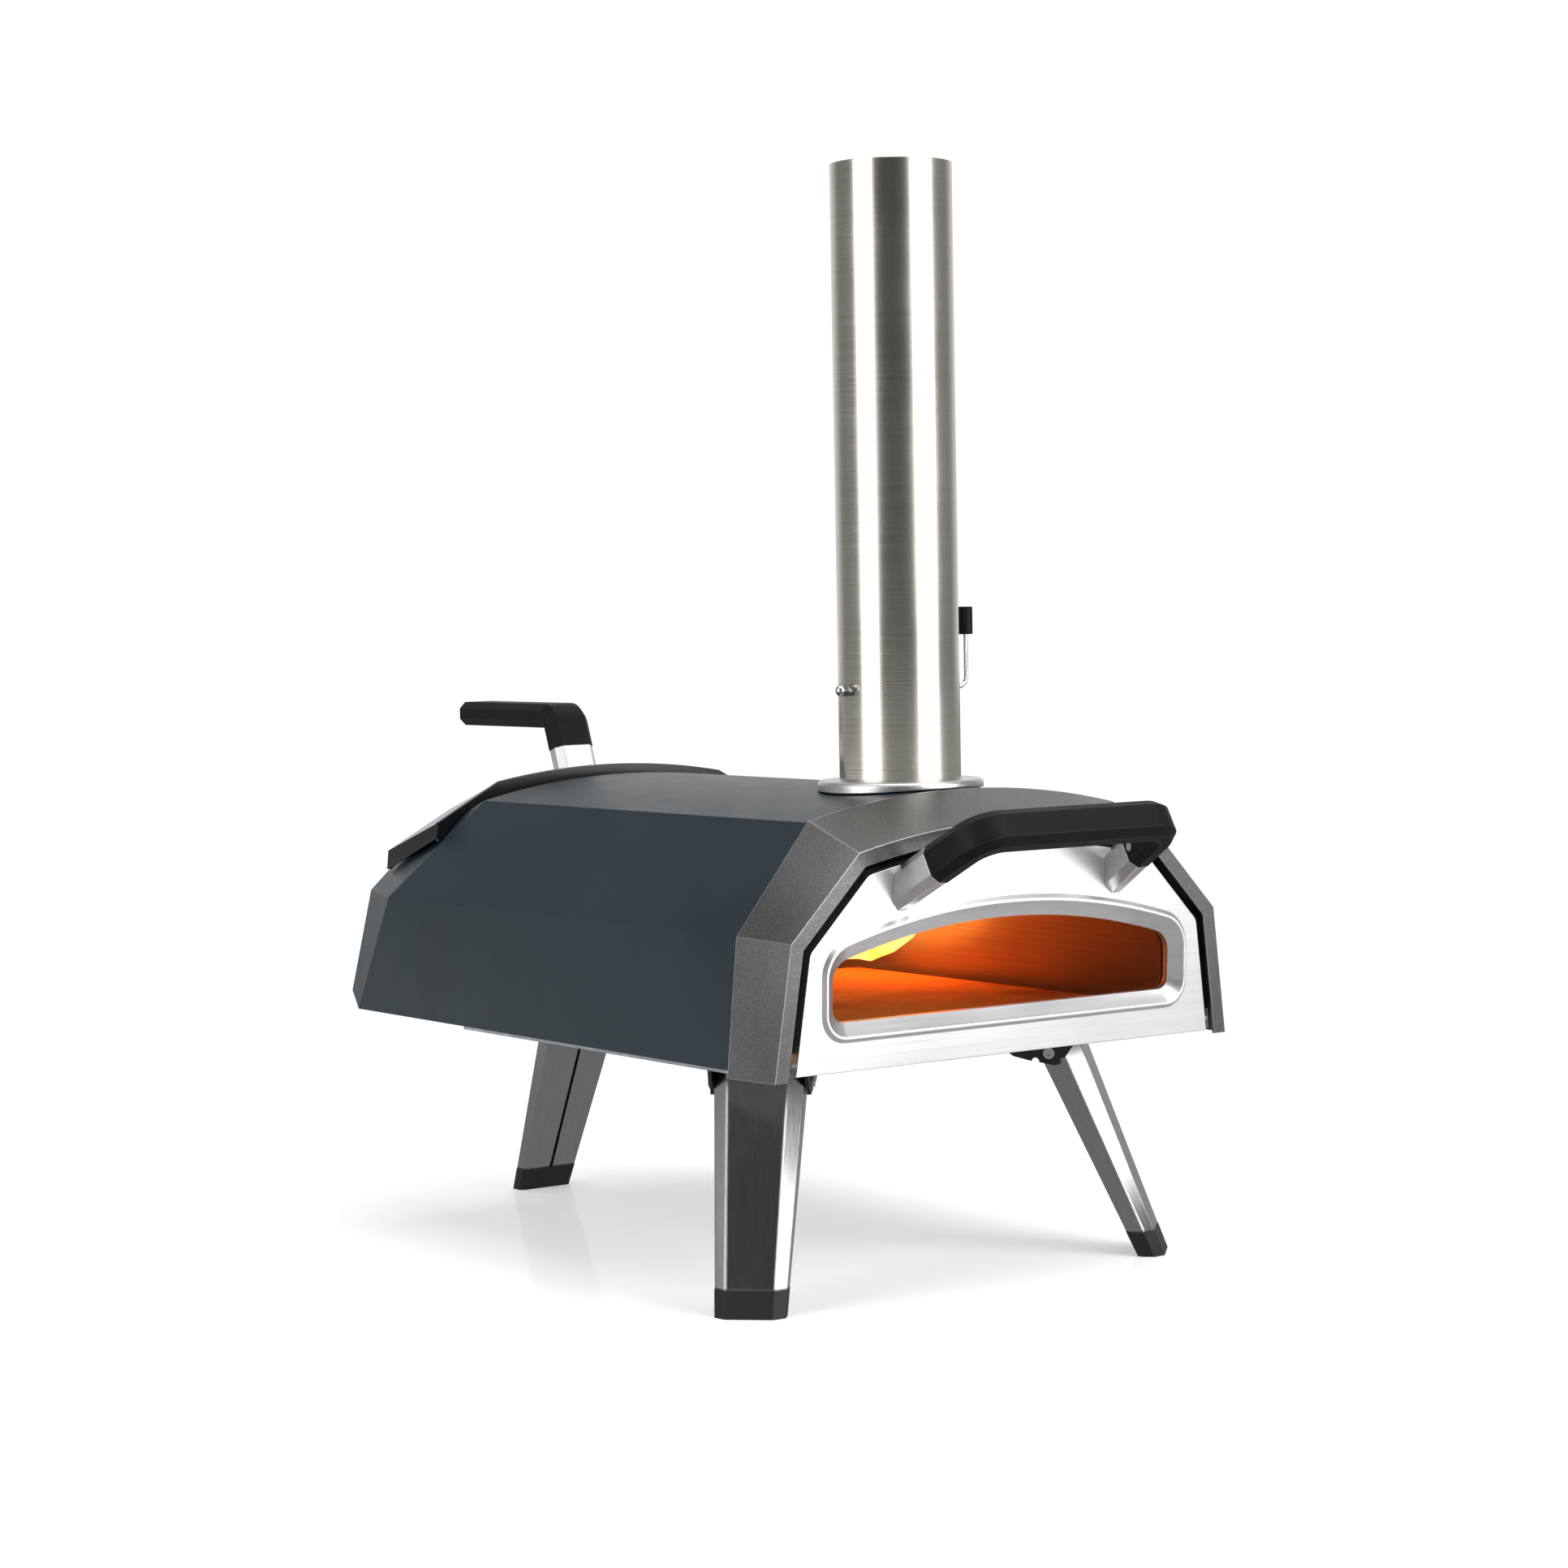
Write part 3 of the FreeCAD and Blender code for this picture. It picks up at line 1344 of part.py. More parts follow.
def hatch_handle_grip():
    """Black grip that turns from the post to point rearward."""
    axis = hatch_axis()
    start = hatch_post_point(size("hatch_junction"))
    corner = hatch_post_point(size("hatch_grip_height"))
    end = Vector(0, size("rear_reach"), size("hatch_grip_height"))
    bend = round_corner(start, corner, end, 12.0)
    path = Part.Wire([Part.LineSegment(start, bend[0]).toShape(),
                      Part.Arc(*bend).toShape(),
                      Part.LineSegment(bend[2], end).toShape()])
    section = octagon(size("hatch_grip_width") + 0.8, size("grip_thick") + 0.8,
                      size("grip_chamfer"))
    wire = section_wire(section, start, X_AXIS, axis.cross(X_AXIS))
    return keep(shaped("hatch_handle_grip", path.makePipeShell([wire], True, False)))


def hatch_screw():
    """Screw head in the rear face of the hatch grip, above the post."""
    axis = hatch_axis()
    at = hatch_post_point(size("hatch_junction") + 8.0)
    outward = axis.cross(X_AXIS)
    seat = at + outward * (size("grip_thick") / 2 + 0.4)
    return keep(shaped("hatch_handle_screw", Part.makeCylinder(3.2, 1.6, seat, outward)))


# ---------------------------------------------------------------- legs


def leg_length():
    """Distance from a leg's pivot to the middle of its foot's sole."""
    return math.hypot(size("pivot_height"), size("leg_splay"))


def leg_angle():
    """A leg's splay from upright, in degrees."""
    return math.degrees(math.atan2(size("leg_splay"), size("pivot_height")))


def between_ends(top_alias, foot_alias, share):
    """A leg dimension at a share of the way from the pivot to the ground."""
    return size(top_alias) + (size(foot_alias) - size(top_alias)) * share


def leg_outline(share, gap=0.0):
    """Leg cross-section, moved inward by gap: large chamfers outside, small ones inside."""
    x = between_ends("leg_top_width", "leg_foot_width", share) / 2
    low = -between_ends("leg_top_inner", "leg_foot_inner", share)
    high = low + between_ends("leg_top_thick", "leg_foot_thick", share)
    across = 10.5 - 2.9 * share
    deep = 12.5 - 6.3 * share
    small = 3.0
    right = [(x - small, low), (x, low + small), (x, high - deep), (x - across, high)]
    return inset_corners(right + [(-px, py) for px, py in reversed(right)], gap)


def inset_corners(points, gap):
    """An anticlockwise convex polygon with every side moved inward by gap."""
    moved = []
    count = len(points)
    for index, point in enumerate(points):
        corner = Vector(*point, 0)
        arriving = (corner - Vector(*points[index - 1], 0)).normalize()
        leaving = (Vector(*points[(index + 1) % count], 0) - corner).normalize()
        inward = Vector(-arriving.y, arriving.x, 0) + Vector(-leaving.y, leaving.x, 0)
        shift = inward * (gap / (1 + arriving.dot(leaving)))
        moved.append((corner.x + shift.x, corner.y + shift.y))
    return moved


def channel_outline(share):
    """C-shaped sheet section: the leg's outline with a slit down the inner face."""
    slit = 1.4
    outer = leg_outline(share)
    inner = leg_outline(share, size("leg_sheet"))
    low = outer[0][1]
    start = [(slit, low)] + outer + [(-slit, low)]
    back = [(-slit, inner[0][1])] + list(reversed(inner)) + [(slit, inner[0][1])]
    return start + back


def level_line(height, y):
    """Where the level plane at a height above the ground crosses a leg's own Y-Z plane."""
    angle = math.radians(leg_angle())
    return (height - size("pivot_height") - y * math.sin(angle)) / math.cos(angle)


def place_leg(turn, pivot):
    """Placements for a leg's fixed bracket and for its splayed leg."""
    bracket = Placement(pivot, Rotation(Z_AXIS, turn))
    leg = bracket.multiply(Placement(Vector(), Rotation(X_AXIS, leg_angle())))
    return bracket, leg


def leg_channel(label, placement):
    """Folded stainless channel from the pivot down to the foot, ending on a level line."""
    body = new_body(label)
    rise = size("leg_top_rise")
    top = add_sketch(body, "top", "XY_Plane", offset=rise)
    draw(top, channel_outline(-rise / leg_length()))
    bottom = add_sketch(body, "bottom", "XY_Plane", offset=-leg_length())
    draw(bottom, channel_outline(1.0))
    loft(body, "Additive", top, bottom)
    pivot = add_sketch(body, "pivot", "YZ_Plane")
    draw_circle(pivot, 0, 0, size("bolt_radius") + 0.05)
    cut(body, pivot, 200.0, symmetric=True)
    end = add_sketch(body, "end", "YZ_Plane")
    foot = size("foot_height")
    draw(end, [(-60.0, level_line(foot, -60.0)), (60.0, level_line(foot, 60.0)),
               (60.0, -250.0), (-60.0, -250.0)])
    cut(body, end, 200.0, symmetric=True)
    return keep(body, placement)


def leg_slice(gap, low, high):
    """Solid leg core, inset by gap, between two levels above the ground."""
    wires = []
    for share in (0.7, 1.15):
        at = Vector(0, 0, -leg_length() * share)
        wires.append(section_wire(leg_outline(share, gap), at, X_AXIS, Y_AXIS))
    core = Part.makeLoft(wires, True, True)
    slab = Part.makeBox(400, 400, high - low, Vector(-200, -200, low - size("pivot_height")))
    slab.rotate(Vector(), X_AXIS, -leg_angle())
    return core.common(slab)


def leg_foot(label, placement):
    """Moulded foot cap with a plug up inside the channel and a level sole."""
    joint = size("foot_height")
    cap = leg_slice(-0.3, 0.0, joint)
    plug = leg_slice(size("leg_sheet") + 0.4, joint - 5.0, joint + 12.0)
    return keep(shaped(label, cap.fuse(plug).removeSplitter()), placement)


def leg_bracket(label, placement):
    """Steel hinge bracket: a top plate and two cheeks, each with two lock notches."""
    gap = size("leg_top_width") / 2 + 0.6
    thick = size("cheek_thick")
    roof = size("shell_bottom") - 3.0 - size("pivot_height")
    outline = [(-29.0, roof), (-29.0, -0.4), (-26.0, -2.5), (-13.5, -5.8), (-6.9, -6.9),
               (3.6, -9.1), (8.0, -8.4), (11.6, -3.3), (17.5, 5.1), (20.0, roof)]
    body = new_body(label)
    cheeks = add_sketch(body, "cheeks", "YZ_Plane", offset=-gap - thick)
    draw(cheeks, outline)
    pad(body, cheeks, 2 * (gap + thick))
    between = add_sketch(body, "between", "YZ_Plane")
    draw_box(between, -60.0, -30.0, 60.0, roof - 0.9)
    cut(body, between, 2 * gap, symmetric=True)
    notches = add_sketch(body, "notches", "YZ_Plane")
    draw_circle(notches, -10.0, -6.2, 2.7)
    draw_circle(notches, 10.6, -6.2, 2.7)
    draw_circle(notches, 0, 0, size("bolt_radius"))
    cut(body, notches, 200.0, symmetric=True)
    return keep(body, placement)


def pivot_bolt(label, placement):
    """Shouldered pivot bolt with a round head at each end."""
    gap = size("leg_top_width") / 2 + 0.6 + size("cheek_thick")
    radius = size("bolt_radius")
    shank = Part.makeCylinder(radius, 2 * gap, Vector(-gap, 0, 0), X_AXIS)
    heads = []
    for side in (-1, 1):
        head = Part.makeCylinder(4.2, 2.2, Vector(side * gap, 0, 0), X_AXIS * side)
        socket = hexagon_prism(2.0, 1.4, Vector(side * (gap + 2.2), 0, 0))
        if side < 0:
            socket = hexagon_prism(2.0, 1.4, Vector(-gap - 0.8, 0, 0))
        heads.append(head.cut(socket))
    return keep(shaped(label, shank.fuse(heads).removeSplitter()), placement)


def legs():
    """The three folding legs with their brackets, bolts and feet."""
    height = size("pivot_height")
    x = size("front_pivot_x")
    y = size("front_pivot_y")
    stations = (("front_left", size("front_leg_turn"), Vector(-x, y, height)),
                ("front_right", -size("front_leg_turn"), Vector(x, y, height)),
                ("rear", 0.0, Vector(0, size("rear_pivot_y"), height)))
    for name, turn, pivot in stations:
        bracket_place, leg_place = place_leg(turn, pivot)
        leg_bracket(f"leg_bracket_{name}", bracket_place)
        pivot_bolt(f"leg_bolt_{name}", bracket_place)
        leg_channel(f"leg_{name}", leg_place)
        leg_foot(f"leg_foot_{name}", leg_place)


def bumpers():
    """Two rubber pads under the front edge, which the folded oven is carried on."""
    pads = []
    for side in (-1, 1):
        at = Vector(side * 176.0, 34.0, size("shell_bottom") - 3.0)
        pads.append(Part.makeCylinder(7.0, 3.0, at, -Z_AXIS))
    return keep(shaped("base_bumpers", Part.makeCompound(pads)))


# ---------------------------------------------------------------- assembly


def check(items):
    """Stop on any failed feature or unusable shape."""
    for item in DOC.Objects:
        bad = [state for state in item.State if state in ("Invalid", "Error")]
        if bad:
            raise RuntimeError(f"{item.Label}: {bad}")
    for piece, _ in items:
        shape = piece.Shape
        if shape.isNull() or not shape.isValid() or shape.Volume <= 0:
            raise RuntimeError(f"{piece.Label}: unusable shape")


def place_pieces():
    """Shift every piece from the drawing's frame to the oven's own frame."""
    middle = (size("rear_reach") - size("front_reach")) / 2
    shift = Placement(Vector(0, -middle, 0), Rotation())
    for piece, placement in PIECES:
        piece.Placement = shift.multiply(placement)


def export_pieces():
    """Write one STEP file per sub-part."""
    os.makedirs("parts", exist_ok=True)
    for piece, _ in PIECES:
        piece.Shape.exportStep(f"parts/{piece.Label}.step")


def build():
    fill_sheet()
    makers = (front_frame, shell, rear_hood, base_tray, base_plate, chamber_liner,
              insulation_blanket, baking_stone, fuel_box, fuel_tray, fuel_grate, rear_panel, burner_cover,
              cover_screws, flange_gasket, chimney_flange, chimney_spigot, chimney_tube,
              damper_plate, damper_spindle, damper_nut, damper_lever, damper_knob,
              door_panel, door_glass, door_inner_panel, glass_retainer, retainer_screws,
              door_insulation, door_seal,
              hinge_pins, hinge_ears, door_handle_posts, door_handle_grip,
              door_handle_screws, fuel_hatch_lid, hatch_insulation, hatch_handle_post,
              hatch_handle_grip, hatch_screw, legs, bumpers)
    for maker in makers:
        maker()
    place_pieces()
    DOC.recompute()
    check(PIECES)
    export_pieces()
    print(f"{len(PIECES)} sub-parts written")


build()
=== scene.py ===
"""Portable wood-fired pizza oven: looks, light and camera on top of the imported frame."""

import json
import math
import random

import bpy
from mathutils import Matrix, Vector


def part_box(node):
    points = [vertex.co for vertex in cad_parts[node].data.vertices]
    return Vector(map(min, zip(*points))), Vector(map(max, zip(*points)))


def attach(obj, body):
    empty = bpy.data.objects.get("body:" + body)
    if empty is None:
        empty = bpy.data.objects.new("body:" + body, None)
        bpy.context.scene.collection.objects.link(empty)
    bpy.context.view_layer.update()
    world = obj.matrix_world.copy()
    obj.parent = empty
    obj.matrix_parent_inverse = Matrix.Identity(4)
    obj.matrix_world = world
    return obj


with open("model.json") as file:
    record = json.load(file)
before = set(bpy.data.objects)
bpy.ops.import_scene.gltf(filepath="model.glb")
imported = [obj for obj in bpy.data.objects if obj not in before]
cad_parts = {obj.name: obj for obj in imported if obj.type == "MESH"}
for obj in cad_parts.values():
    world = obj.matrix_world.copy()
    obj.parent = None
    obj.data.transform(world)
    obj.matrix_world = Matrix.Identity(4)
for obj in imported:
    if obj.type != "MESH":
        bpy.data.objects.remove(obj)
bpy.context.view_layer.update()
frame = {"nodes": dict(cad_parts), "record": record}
random.seed(7)

scene = bpy.context.scene


# ---------------------------------------------------------------- node helpers


# The mix node's colour inputs and its colour output share their names with others.
MIX_A = 6
MIX_B = 7
MIX_RESULT = 2


def linear(value):
    """One display value from 0 to 255 as a linear number."""
    value = value / 255.0
    if value <= 0.04045:
        return value / 12.92
    return ((value + 0.055) / 1.055) ** 2.4


def colour(red, green, blue):
    """Display colour from 0 to 255 as a linear colour."""
    return (linear(red), linear(green), linear(blue), 1.0)


def add_node(tree, kind, sockets=None, **settings):
    """Node in a tree. Sockets, by name or number, take a value or the output they link from."""
    node = tree.nodes.new(kind)
    for name, value in settings.items():
        setattr(node, name, value)
    for key, value in (sockets or {}).items():
        if isinstance(value, bpy.types.NodeSocket):
            tree.links.new(value, node.inputs[key])
        else:
            node.inputs[key].default_value = value
    return node


class Shader:
    """A principled material built up from procedural nodes."""

    def __init__(self, name):
        self.material = bpy.data.materials.new(name)
        self.material.use_nodes = True
        self.tree = self.material.node_tree
        self.bsdf = self.tree.nodes["Principled BSDF"]
        self.position = self.node("ShaderNodeTexCoord").outputs["Object"]

    def node(self, kind, sockets=None, **settings):
        """Node in this material's tree."""
        return add_node(self.tree, kind, sockets, **settings)

    def mapped(self, scale, rotation=(0.0, 0.0, 0.0)):
        """Object position turned and stretched, for streaks."""
        turn = self.node("ShaderNodeMapping", {"Rotation": rotation, "Vector": self.position})
        stretch = self.node("ShaderNodeMapping",
                            {"Scale": scale, "Vector": turn.outputs["Vector"]})
        return stretch.outputs["Vector"]

    def noise(self, scale, detail=3.0, roughness=0.5, vector=None):
        """Noise between 0 and 1."""
        node = self.node("ShaderNodeTexNoise",
                         {"Scale": scale, "Detail": detail, "Roughness": roughness,
                          "Vector": vector or self.position})
        return node.outputs["Fac"]

    def ranged(self, value, low, high, from_low=0.0, from_high=1.0):
        """A value carried from one range to another, held at its ends."""
        node = self.node("ShaderNodeMapRange",
                         {"Value": value, "From Min": from_low, "From Max": from_high,
                          "To Min": low, "To Max": high})
        return node.outputs["Result"]

    def mixed(self, factor, first, second):
        """Colour between first and second by factor."""
        node = self.node("ShaderNodeMix", {"Factor": factor, MIX_A: first, MIX_B: second},
                         data_type="RGBA")
        return node.outputs[MIX_RESULT]

    def combined(self, first, second, operation):
        """Arithmetic on two values."""
        return self.node("ShaderNodeMath", {0: first, 1: second}, operation=operation).outputs[0]

    def edge(self, radius):
        """Rounded shading normal for crisp folded edges."""
        return self.node("ShaderNodeBevel", {"Radius": radius}, samples=6).outputs["Normal"]

    def edge_mask(self, radius, low=0.01, high=0.14):
        """1 along sharp edges, 0 on faces."""
        flat = self.node("ShaderNodeNewGeometry").outputs["Normal"]
        dot = self.node("ShaderNodeVectorMath", {0: self.edge(radius), 1: flat},
                        operation="DOT_PRODUCT")
        return self.ranged(dot.outputs["Value"], 1.0, 0.0, 1.0 - high, 1.0 - low)

    def bump(self, height, distance, normal=None):
        """Shading normal raised by a height."""
        sockets = {"Distance": distance, "Height": height}
        if normal is not None:
            sockets["Normal"] = normal
        return self.node("ShaderNodeBump", sockets).outputs["Normal"]

    def set(self, **values):
        """Fill the principled shader's sockets with numbers, colours or links."""
        for key, value in values.items():
            socket = self.bsdf.inputs[key.replace("_", " ")]
            if isinstance(value, bpy.types.NodeSocket):
                self.tree.links.new(value, socket)
            else:
                socket.default_value = value
        return self


# ---------------------------------------------------------------- materials


def powder_coat(name, base, patch, roughness, level, grain=0.00012, wear_and_edge_highlight=None, flake=0.0):
    """Textured paint: fine orange-peel grain, faint patches, and lighter edges that are partly wear
    and partly a painted edge highlight.
    """
    shader = Shader(name)
    patches = shader.ranged(shader.noise(9.0, 4.0), 0.0, 1.0, 0.35, 0.65)
    tone = shader.mixed(patches, base, patch)
    if flake:
        sparkle = shader.ranged(shader.noise(2600.0, 1.0), 0.0, flake, 0.60, 0.74)
        tone = shader.mixed(sparkle, tone, (0.75, 0.75, 0.76, 1.0))
    # Lighter colour along sharp edges: partly edge wear, partly a painted edge highlight.
    if wear_and_edge_highlight:
        tone = shader.mixed(shader.edge_mask(0.0012), tone, wear_and_edge_highlight)
    peel = shader.noise(900.0, 2.0)
    normal = shader.bump(peel, grain, shader.edge(0.0009))
    gloss = shader.ranged(shader.noise(35.0, 3.0), roughness - 0.04, roughness + 0.05)
    shader.set(Base_Color=tone, Roughness=gloss, Normal=normal)
    shader.set(Specular_IOR_Level=level)
    return shader


def brushed(name, base, patch, roughness, scale, rotation=(0.0, 0.0, 0.0), depth=0.00003,
            edge=0.0008):
    """Brushed metal: long fine streaks in colour, roughness and bump."""
    shader = Shader(name)
    along = shader.mapped(scale, rotation)
    streak = shader.noise(1.0, 3.0, 0.65, along)
    broad = shader.noise(6.0, 3.0)
    tone = shader.mixed(shader.ranged(streak, 0.0, 1.0, 0.25, 0.75), base, patch)
    smudge = shader.ranged(broad, -0.03, 0.05, 0.3, 0.7)
    gloss = shader.combined(shader.ranged(streak, roughness - 0.05, roughness + 0.06),
                            smudge, "ADD")
    normal = shader.bump(streak, depth, shader.edge(edge))
    shader.set(Base_Color=tone, Roughness=gloss, Normal=normal)
    shader.set(Metallic=1.0)
    return shader


def ring_brushed(name, base, patch, roughness, anisotropy):
    """Tube brushed round its upright axis: highlights stay narrow and run its whole height."""
    shader = brushed(name, base, patch, roughness, (4.0, 4.0, 1500.0), depth=0.00002)
    around = shader.node("ShaderNodeTangent", direction_type="RADIAL", axis="Z")
    shader.set(Tangent=around.outputs["Tangent"], Anisotropic=anisotropy)
    return shader


def moulded(name, base, patch, roughness, grain=0.00008, level=0.5, wear_and_edge_highlight=None):
    """Moulded nylon or rubber with a spark-eroded grain."""
    shader = Shader(name)
    tone = shader.mixed(shader.noise(30.0, 3.0), base, patch)
    # Lighter colour along sharp edges: partly edge wear, partly a painted edge highlight.
    if wear_and_edge_highlight:
        tone = shader.mixed(shader.edge_mask(0.0010), tone, wear_and_edge_highlight)
    grit = shader.noise(1500.0, 2.0)
    normal = shader.bump(grit, grain, shader.edge(0.0009))
    gloss = shader.ranged(shader.noise(60.0, 3.0), roughness - 0.05, roughness + 0.06)
    shader.set(Base_Color=tone, Roughness=gloss, Normal=normal)
    shader.set(Specular_IOR_Level=level)
    return shader


def heated_steel(name):
    """Chamber steel with a straw heat tint along its grain."""
    shader = Shader(name)
    streak = shader.noise(1.0, 3.0, 0.6, shader.mapped((6.0, 6.0, 420.0)))
    tint = shader.mixed(shader.ranged(shader.noise(5.0, 3.0), 0.0, 1.0, 0.35, 0.7),
                        colour(150, 140, 128), colour(120, 104, 84))
    tone = shader.mixed(streak, tint, colour(168, 160, 150))
    normal = shader.bump(streak, 0.00004, shader.edge(0.0006))
    shader.set(Base_Color=tone, Roughness=shader.ranged(streak, 0.30, 0.44), Normal=normal)
    shader.set(Metallic=0.85)
    return shader


def zinc_plate(name):
    """Plain plated steel with a faint spangle."""
    shader = Shader(name)
    cells = shader.node("ShaderNodeTexVoronoi", {"Scale": 90.0, "Vector": shader.position})
    spangle = shader.ranged(cells.outputs["Distance"], 0.0, 1.0, 0.0, 0.6)
    tone = shader.mixed(spangle, colour(205, 206, 210), colour(182, 184, 188))
    normal = shader.bump(shader.noise(500.0), 0.00003, shader.edge(0.0006))
    shader.set(Base_Color=tone, Roughness=shader.ranged(spangle, 0.34, 0.46), Normal=normal)
    shader.set(Metallic=1.0)
    return shader


def fibre(name, base, patch):
    """Matted fibre."""
    shader = Shader(name)
    tangle = shader.noise(420.0, 5.0, 0.7)
    tone = shader.mixed(tangle, base, patch)
    shader.set(Base_Color=tone, Normal=shader.bump(tangle, 0.0008))
    shader.set(Roughness=0.95, Specular_IOR_Level=0.1)
    return shader


def rope(name):
    """Black glass-fibre rope with its twist."""
    shader = Shader(name)
    wave = shader.node("ShaderNodeTexWave",
                       {"Scale": 160.0, "Distortion": 2.0, "Vector": shader.position},
                       bands_direction="DIAGONAL")
    tone = shader.mixed(wave.outputs["Fac"], colour(14, 14, 14), colour(34, 33, 32))
    shader.set(Base_Color=tone, Normal=shader.bump(wave.outputs["Fac"], 0.0004))
    shader.set(Roughness=0.9, Specular_IOR_Level=0.2)
    return shader


def cordierite(name):
    """Pale baking stone: fine grit, a few darker toasted patches."""
    shader = Shader(name)
    grit = shader.noise(700.0, 4.0, 0.7)
    toast = shader.ranged(shader.noise(11.0, 4.0), 0.0, 0.75, 0.5, 0.75)
    tone = shader.mixed(grit, colour(206, 188, 158), colour(184, 162, 130))
    tone = shader.mixed(toast, tone, colour(138, 104, 70))
    shader.set(Base_Color=tone, Normal=shader.bump(grit, 0.0003))
    shader.set(Roughness=0.88, Specular_IOR_Level=0.25)
    return shader


def window_glass(name):
    """Amber ceramic glass with faint patches of soot; a low index keeps its face clear."""
    shader = Shader(name)
    haze = shader.noise(14.0, 4.0)
    tone = shader.mixed(shader.ranged(haze, 0.0, 0.25, 0.5, 0.8),
                        (1.0, 0.68, 0.32, 1.0), (0.85, 0.52, 0.22, 1.0))
    shader.set(Base_Color=tone, Roughness=shader.ranged(haze, 0.0, 0.03))
    shader.set(Transmission_Weight=1.0, IOR=1.12)
    return shader


def glow(name, low, high, strength):
    """Flame: streaked emission, thin and clear toward its edges."""
    shader = Shader(name)
    lick = shader.noise(34.0, 4.0, 0.55, shader.mapped((1.0, 0.35, 1.3)))
    core = shader.ranged(lick, 0.0, 1.0, 0.34, 0.62)
    tone = shader.mixed(core, low, high)
    clear = shader.ranged(lick, 0.55, 1.0, 0.3, 0.5)
    shader.set(Base_Color=tone, Emission_Color=tone, Alpha=clear)
    shader.set(Emission_Strength=strength, Roughness=1.0, Specular_IOR_Level=0.0)
    return shader


def charcoal(name):
    """Charred log: cracked black bark over glowing seams."""
    shader = Shader(name)
    cells = shader.node("ShaderNodeTexVoronoi", {"Scale": 90.0, "Vector": shader.position},
                        feature="DISTANCE_TO_EDGE")
    seam = shader.ranged(cells.outputs["Distance"], 1.0, 0.0, 0.0, 0.10)
    patches = shader.ranged(shader.noise(22.0), 0.0, 1.0, 0.52, 0.7)
    hot = shader.combined(seam, patches, "MULTIPLY")
    tone = shader.mixed(shader.noise(60.0), colour(22, 19, 17), colour(52, 46, 42))
    shader.set(Base_Color=tone, Normal=shader.bump(cells.outputs["Distance"], 0.004))
    shader.set(Emission_Color=(1.0, 0.22, 0.02, 1.0), Emission_Strength=shader.ranged(hot, 0.0, 9.0))
    shader.set(Roughness=0.9, Specular_IOR_Level=0.2)
    return shader


def grain_rotation(heading, angle):
    """Mapping rotation that lays local Z along a splayed leg."""
    lean = Matrix.Rotation(math.radians(heading), 4, "Z") @ Matrix.Rotation(
        math.radians(angle), 4, "X")
    return tuple(lean.inverted().to_euler())


# The lighter edge colours given below are partly edge wear and partly a painted edge highlight.
MATERIALS = {
    "frame_coat": powder_coat("frame_coat", colour(98, 97, 96), colour(112, 111, 110),
                              roughness=0.34, level=0.5, grain=0.00010,
                              wear_and_edge_highlight=colour(205, 205, 205), flake=0.5).set(Metallic=0.9),
    "shell_coat": powder_coat("shell_coat", colour(22, 35, 42), colour(26, 40, 47),
                              roughness=0.38, level=0.30, wear_and_edge_highlight=colour(54, 66, 74)),
    "lid_enamel": powder_coat("lid_enamel", colour(14, 17, 20), colour(20, 24, 28),
                              roughness=0.20, level=0.5, grain=0.00004,
                              wear_and_edge_highlight=colour(60, 66, 72)),
    "black_coat": powder_coat("black_coat", colour(22, 22, 23), colour(30, 30, 31),
                              roughness=0.40, level=0.4, wear_and_edge_highlight=colour(62, 62, 62)),
    "stainless": brushed("stainless", colour(214, 213, 211), colour(226, 225, 224),
                         roughness=0.22, scale=(5.0, 5.0, 1400.0)),
    "chimney_steel": ring_brushed("chimney_steel", colour(200, 194, 183), colour(216, 213, 206),
                                  roughness=0.15, anisotropy=0.75),
    "door_steel": brushed("door_steel", colour(232, 232, 234), colour(244, 244, 246),
                          roughness=0.34, scale=(9.0, 9.0, 900.0), depth=0.00002),
    "liner_steel": heated_steel("liner_steel"),
    "pan_steel": zinc_plate("pan_steel"),
    "fastener_steel": brushed("fastener_steel", colour(196, 195, 192), colour(214, 213, 210),
                              roughness=0.24, scale=(700.0, 700.0, 700.0), edge=0.0004),
    "cast_aluminium": brushed("cast_aluminium", colour(196, 197, 199), colour(210, 211, 213),
                              roughness=0.34, scale=(300.0, 300.0, 300.0), edge=0.0010),
    "satin_aluminium": brushed("satin_aluminium", colour(206, 206, 208), colour(220, 220, 222),
                               roughness=0.36, scale=(200.0, 900.0, 200.0), edge=0.0010),
    "black_grip": moulded("black_grip", colour(12, 12, 15), colour(17, 17, 21),
                          roughness=0.50, level=0.15, wear_and_edge_highlight=colour(52, 52, 60)),
    "rubber": moulded("rubber", colour(20, 20, 20), colour(27, 27, 27),
                      roughness=0.55, level=0.35, wear_and_edge_highlight=colour(58, 58, 58)),
    "gasket": fibre("gasket", colour(18, 18, 18), colour(30, 29, 28)),
    "rope_seal": rope("rope_seal"),
    "ceramic_fibre": fibre("ceramic_fibre", colour(232, 229, 220), colour(206, 202, 192)),
    "stone": cordierite("stone"),
    "glass": window_glass("glass"),
}
# A leg's sideways run and drop in millimetres, and the way each leg splays, in degrees.
LEG_RUN = 65.5
LEG_DROP = 151.0
LEG_ANGLE = math.degrees(math.atan2(LEG_RUN, LEG_DROP))
LEG_HEADINGS = {"front_left": 135.9, "front_right": -135.9, "rear": 0.0}
for leg_name, leg_heading in LEG_HEADINGS.items():
    MATERIALS["leg_" + leg_name] = brushed(
        "leg_steel_" + leg_name, colour(158, 157, 159), colour(172, 171, 173), roughness=0.17,
        scale=(1100.0, 1100.0, 9.0), rotation=grain_rotation(leg_heading, LEG_ANGLE),
        depth=0.000004, edge=0.0030)


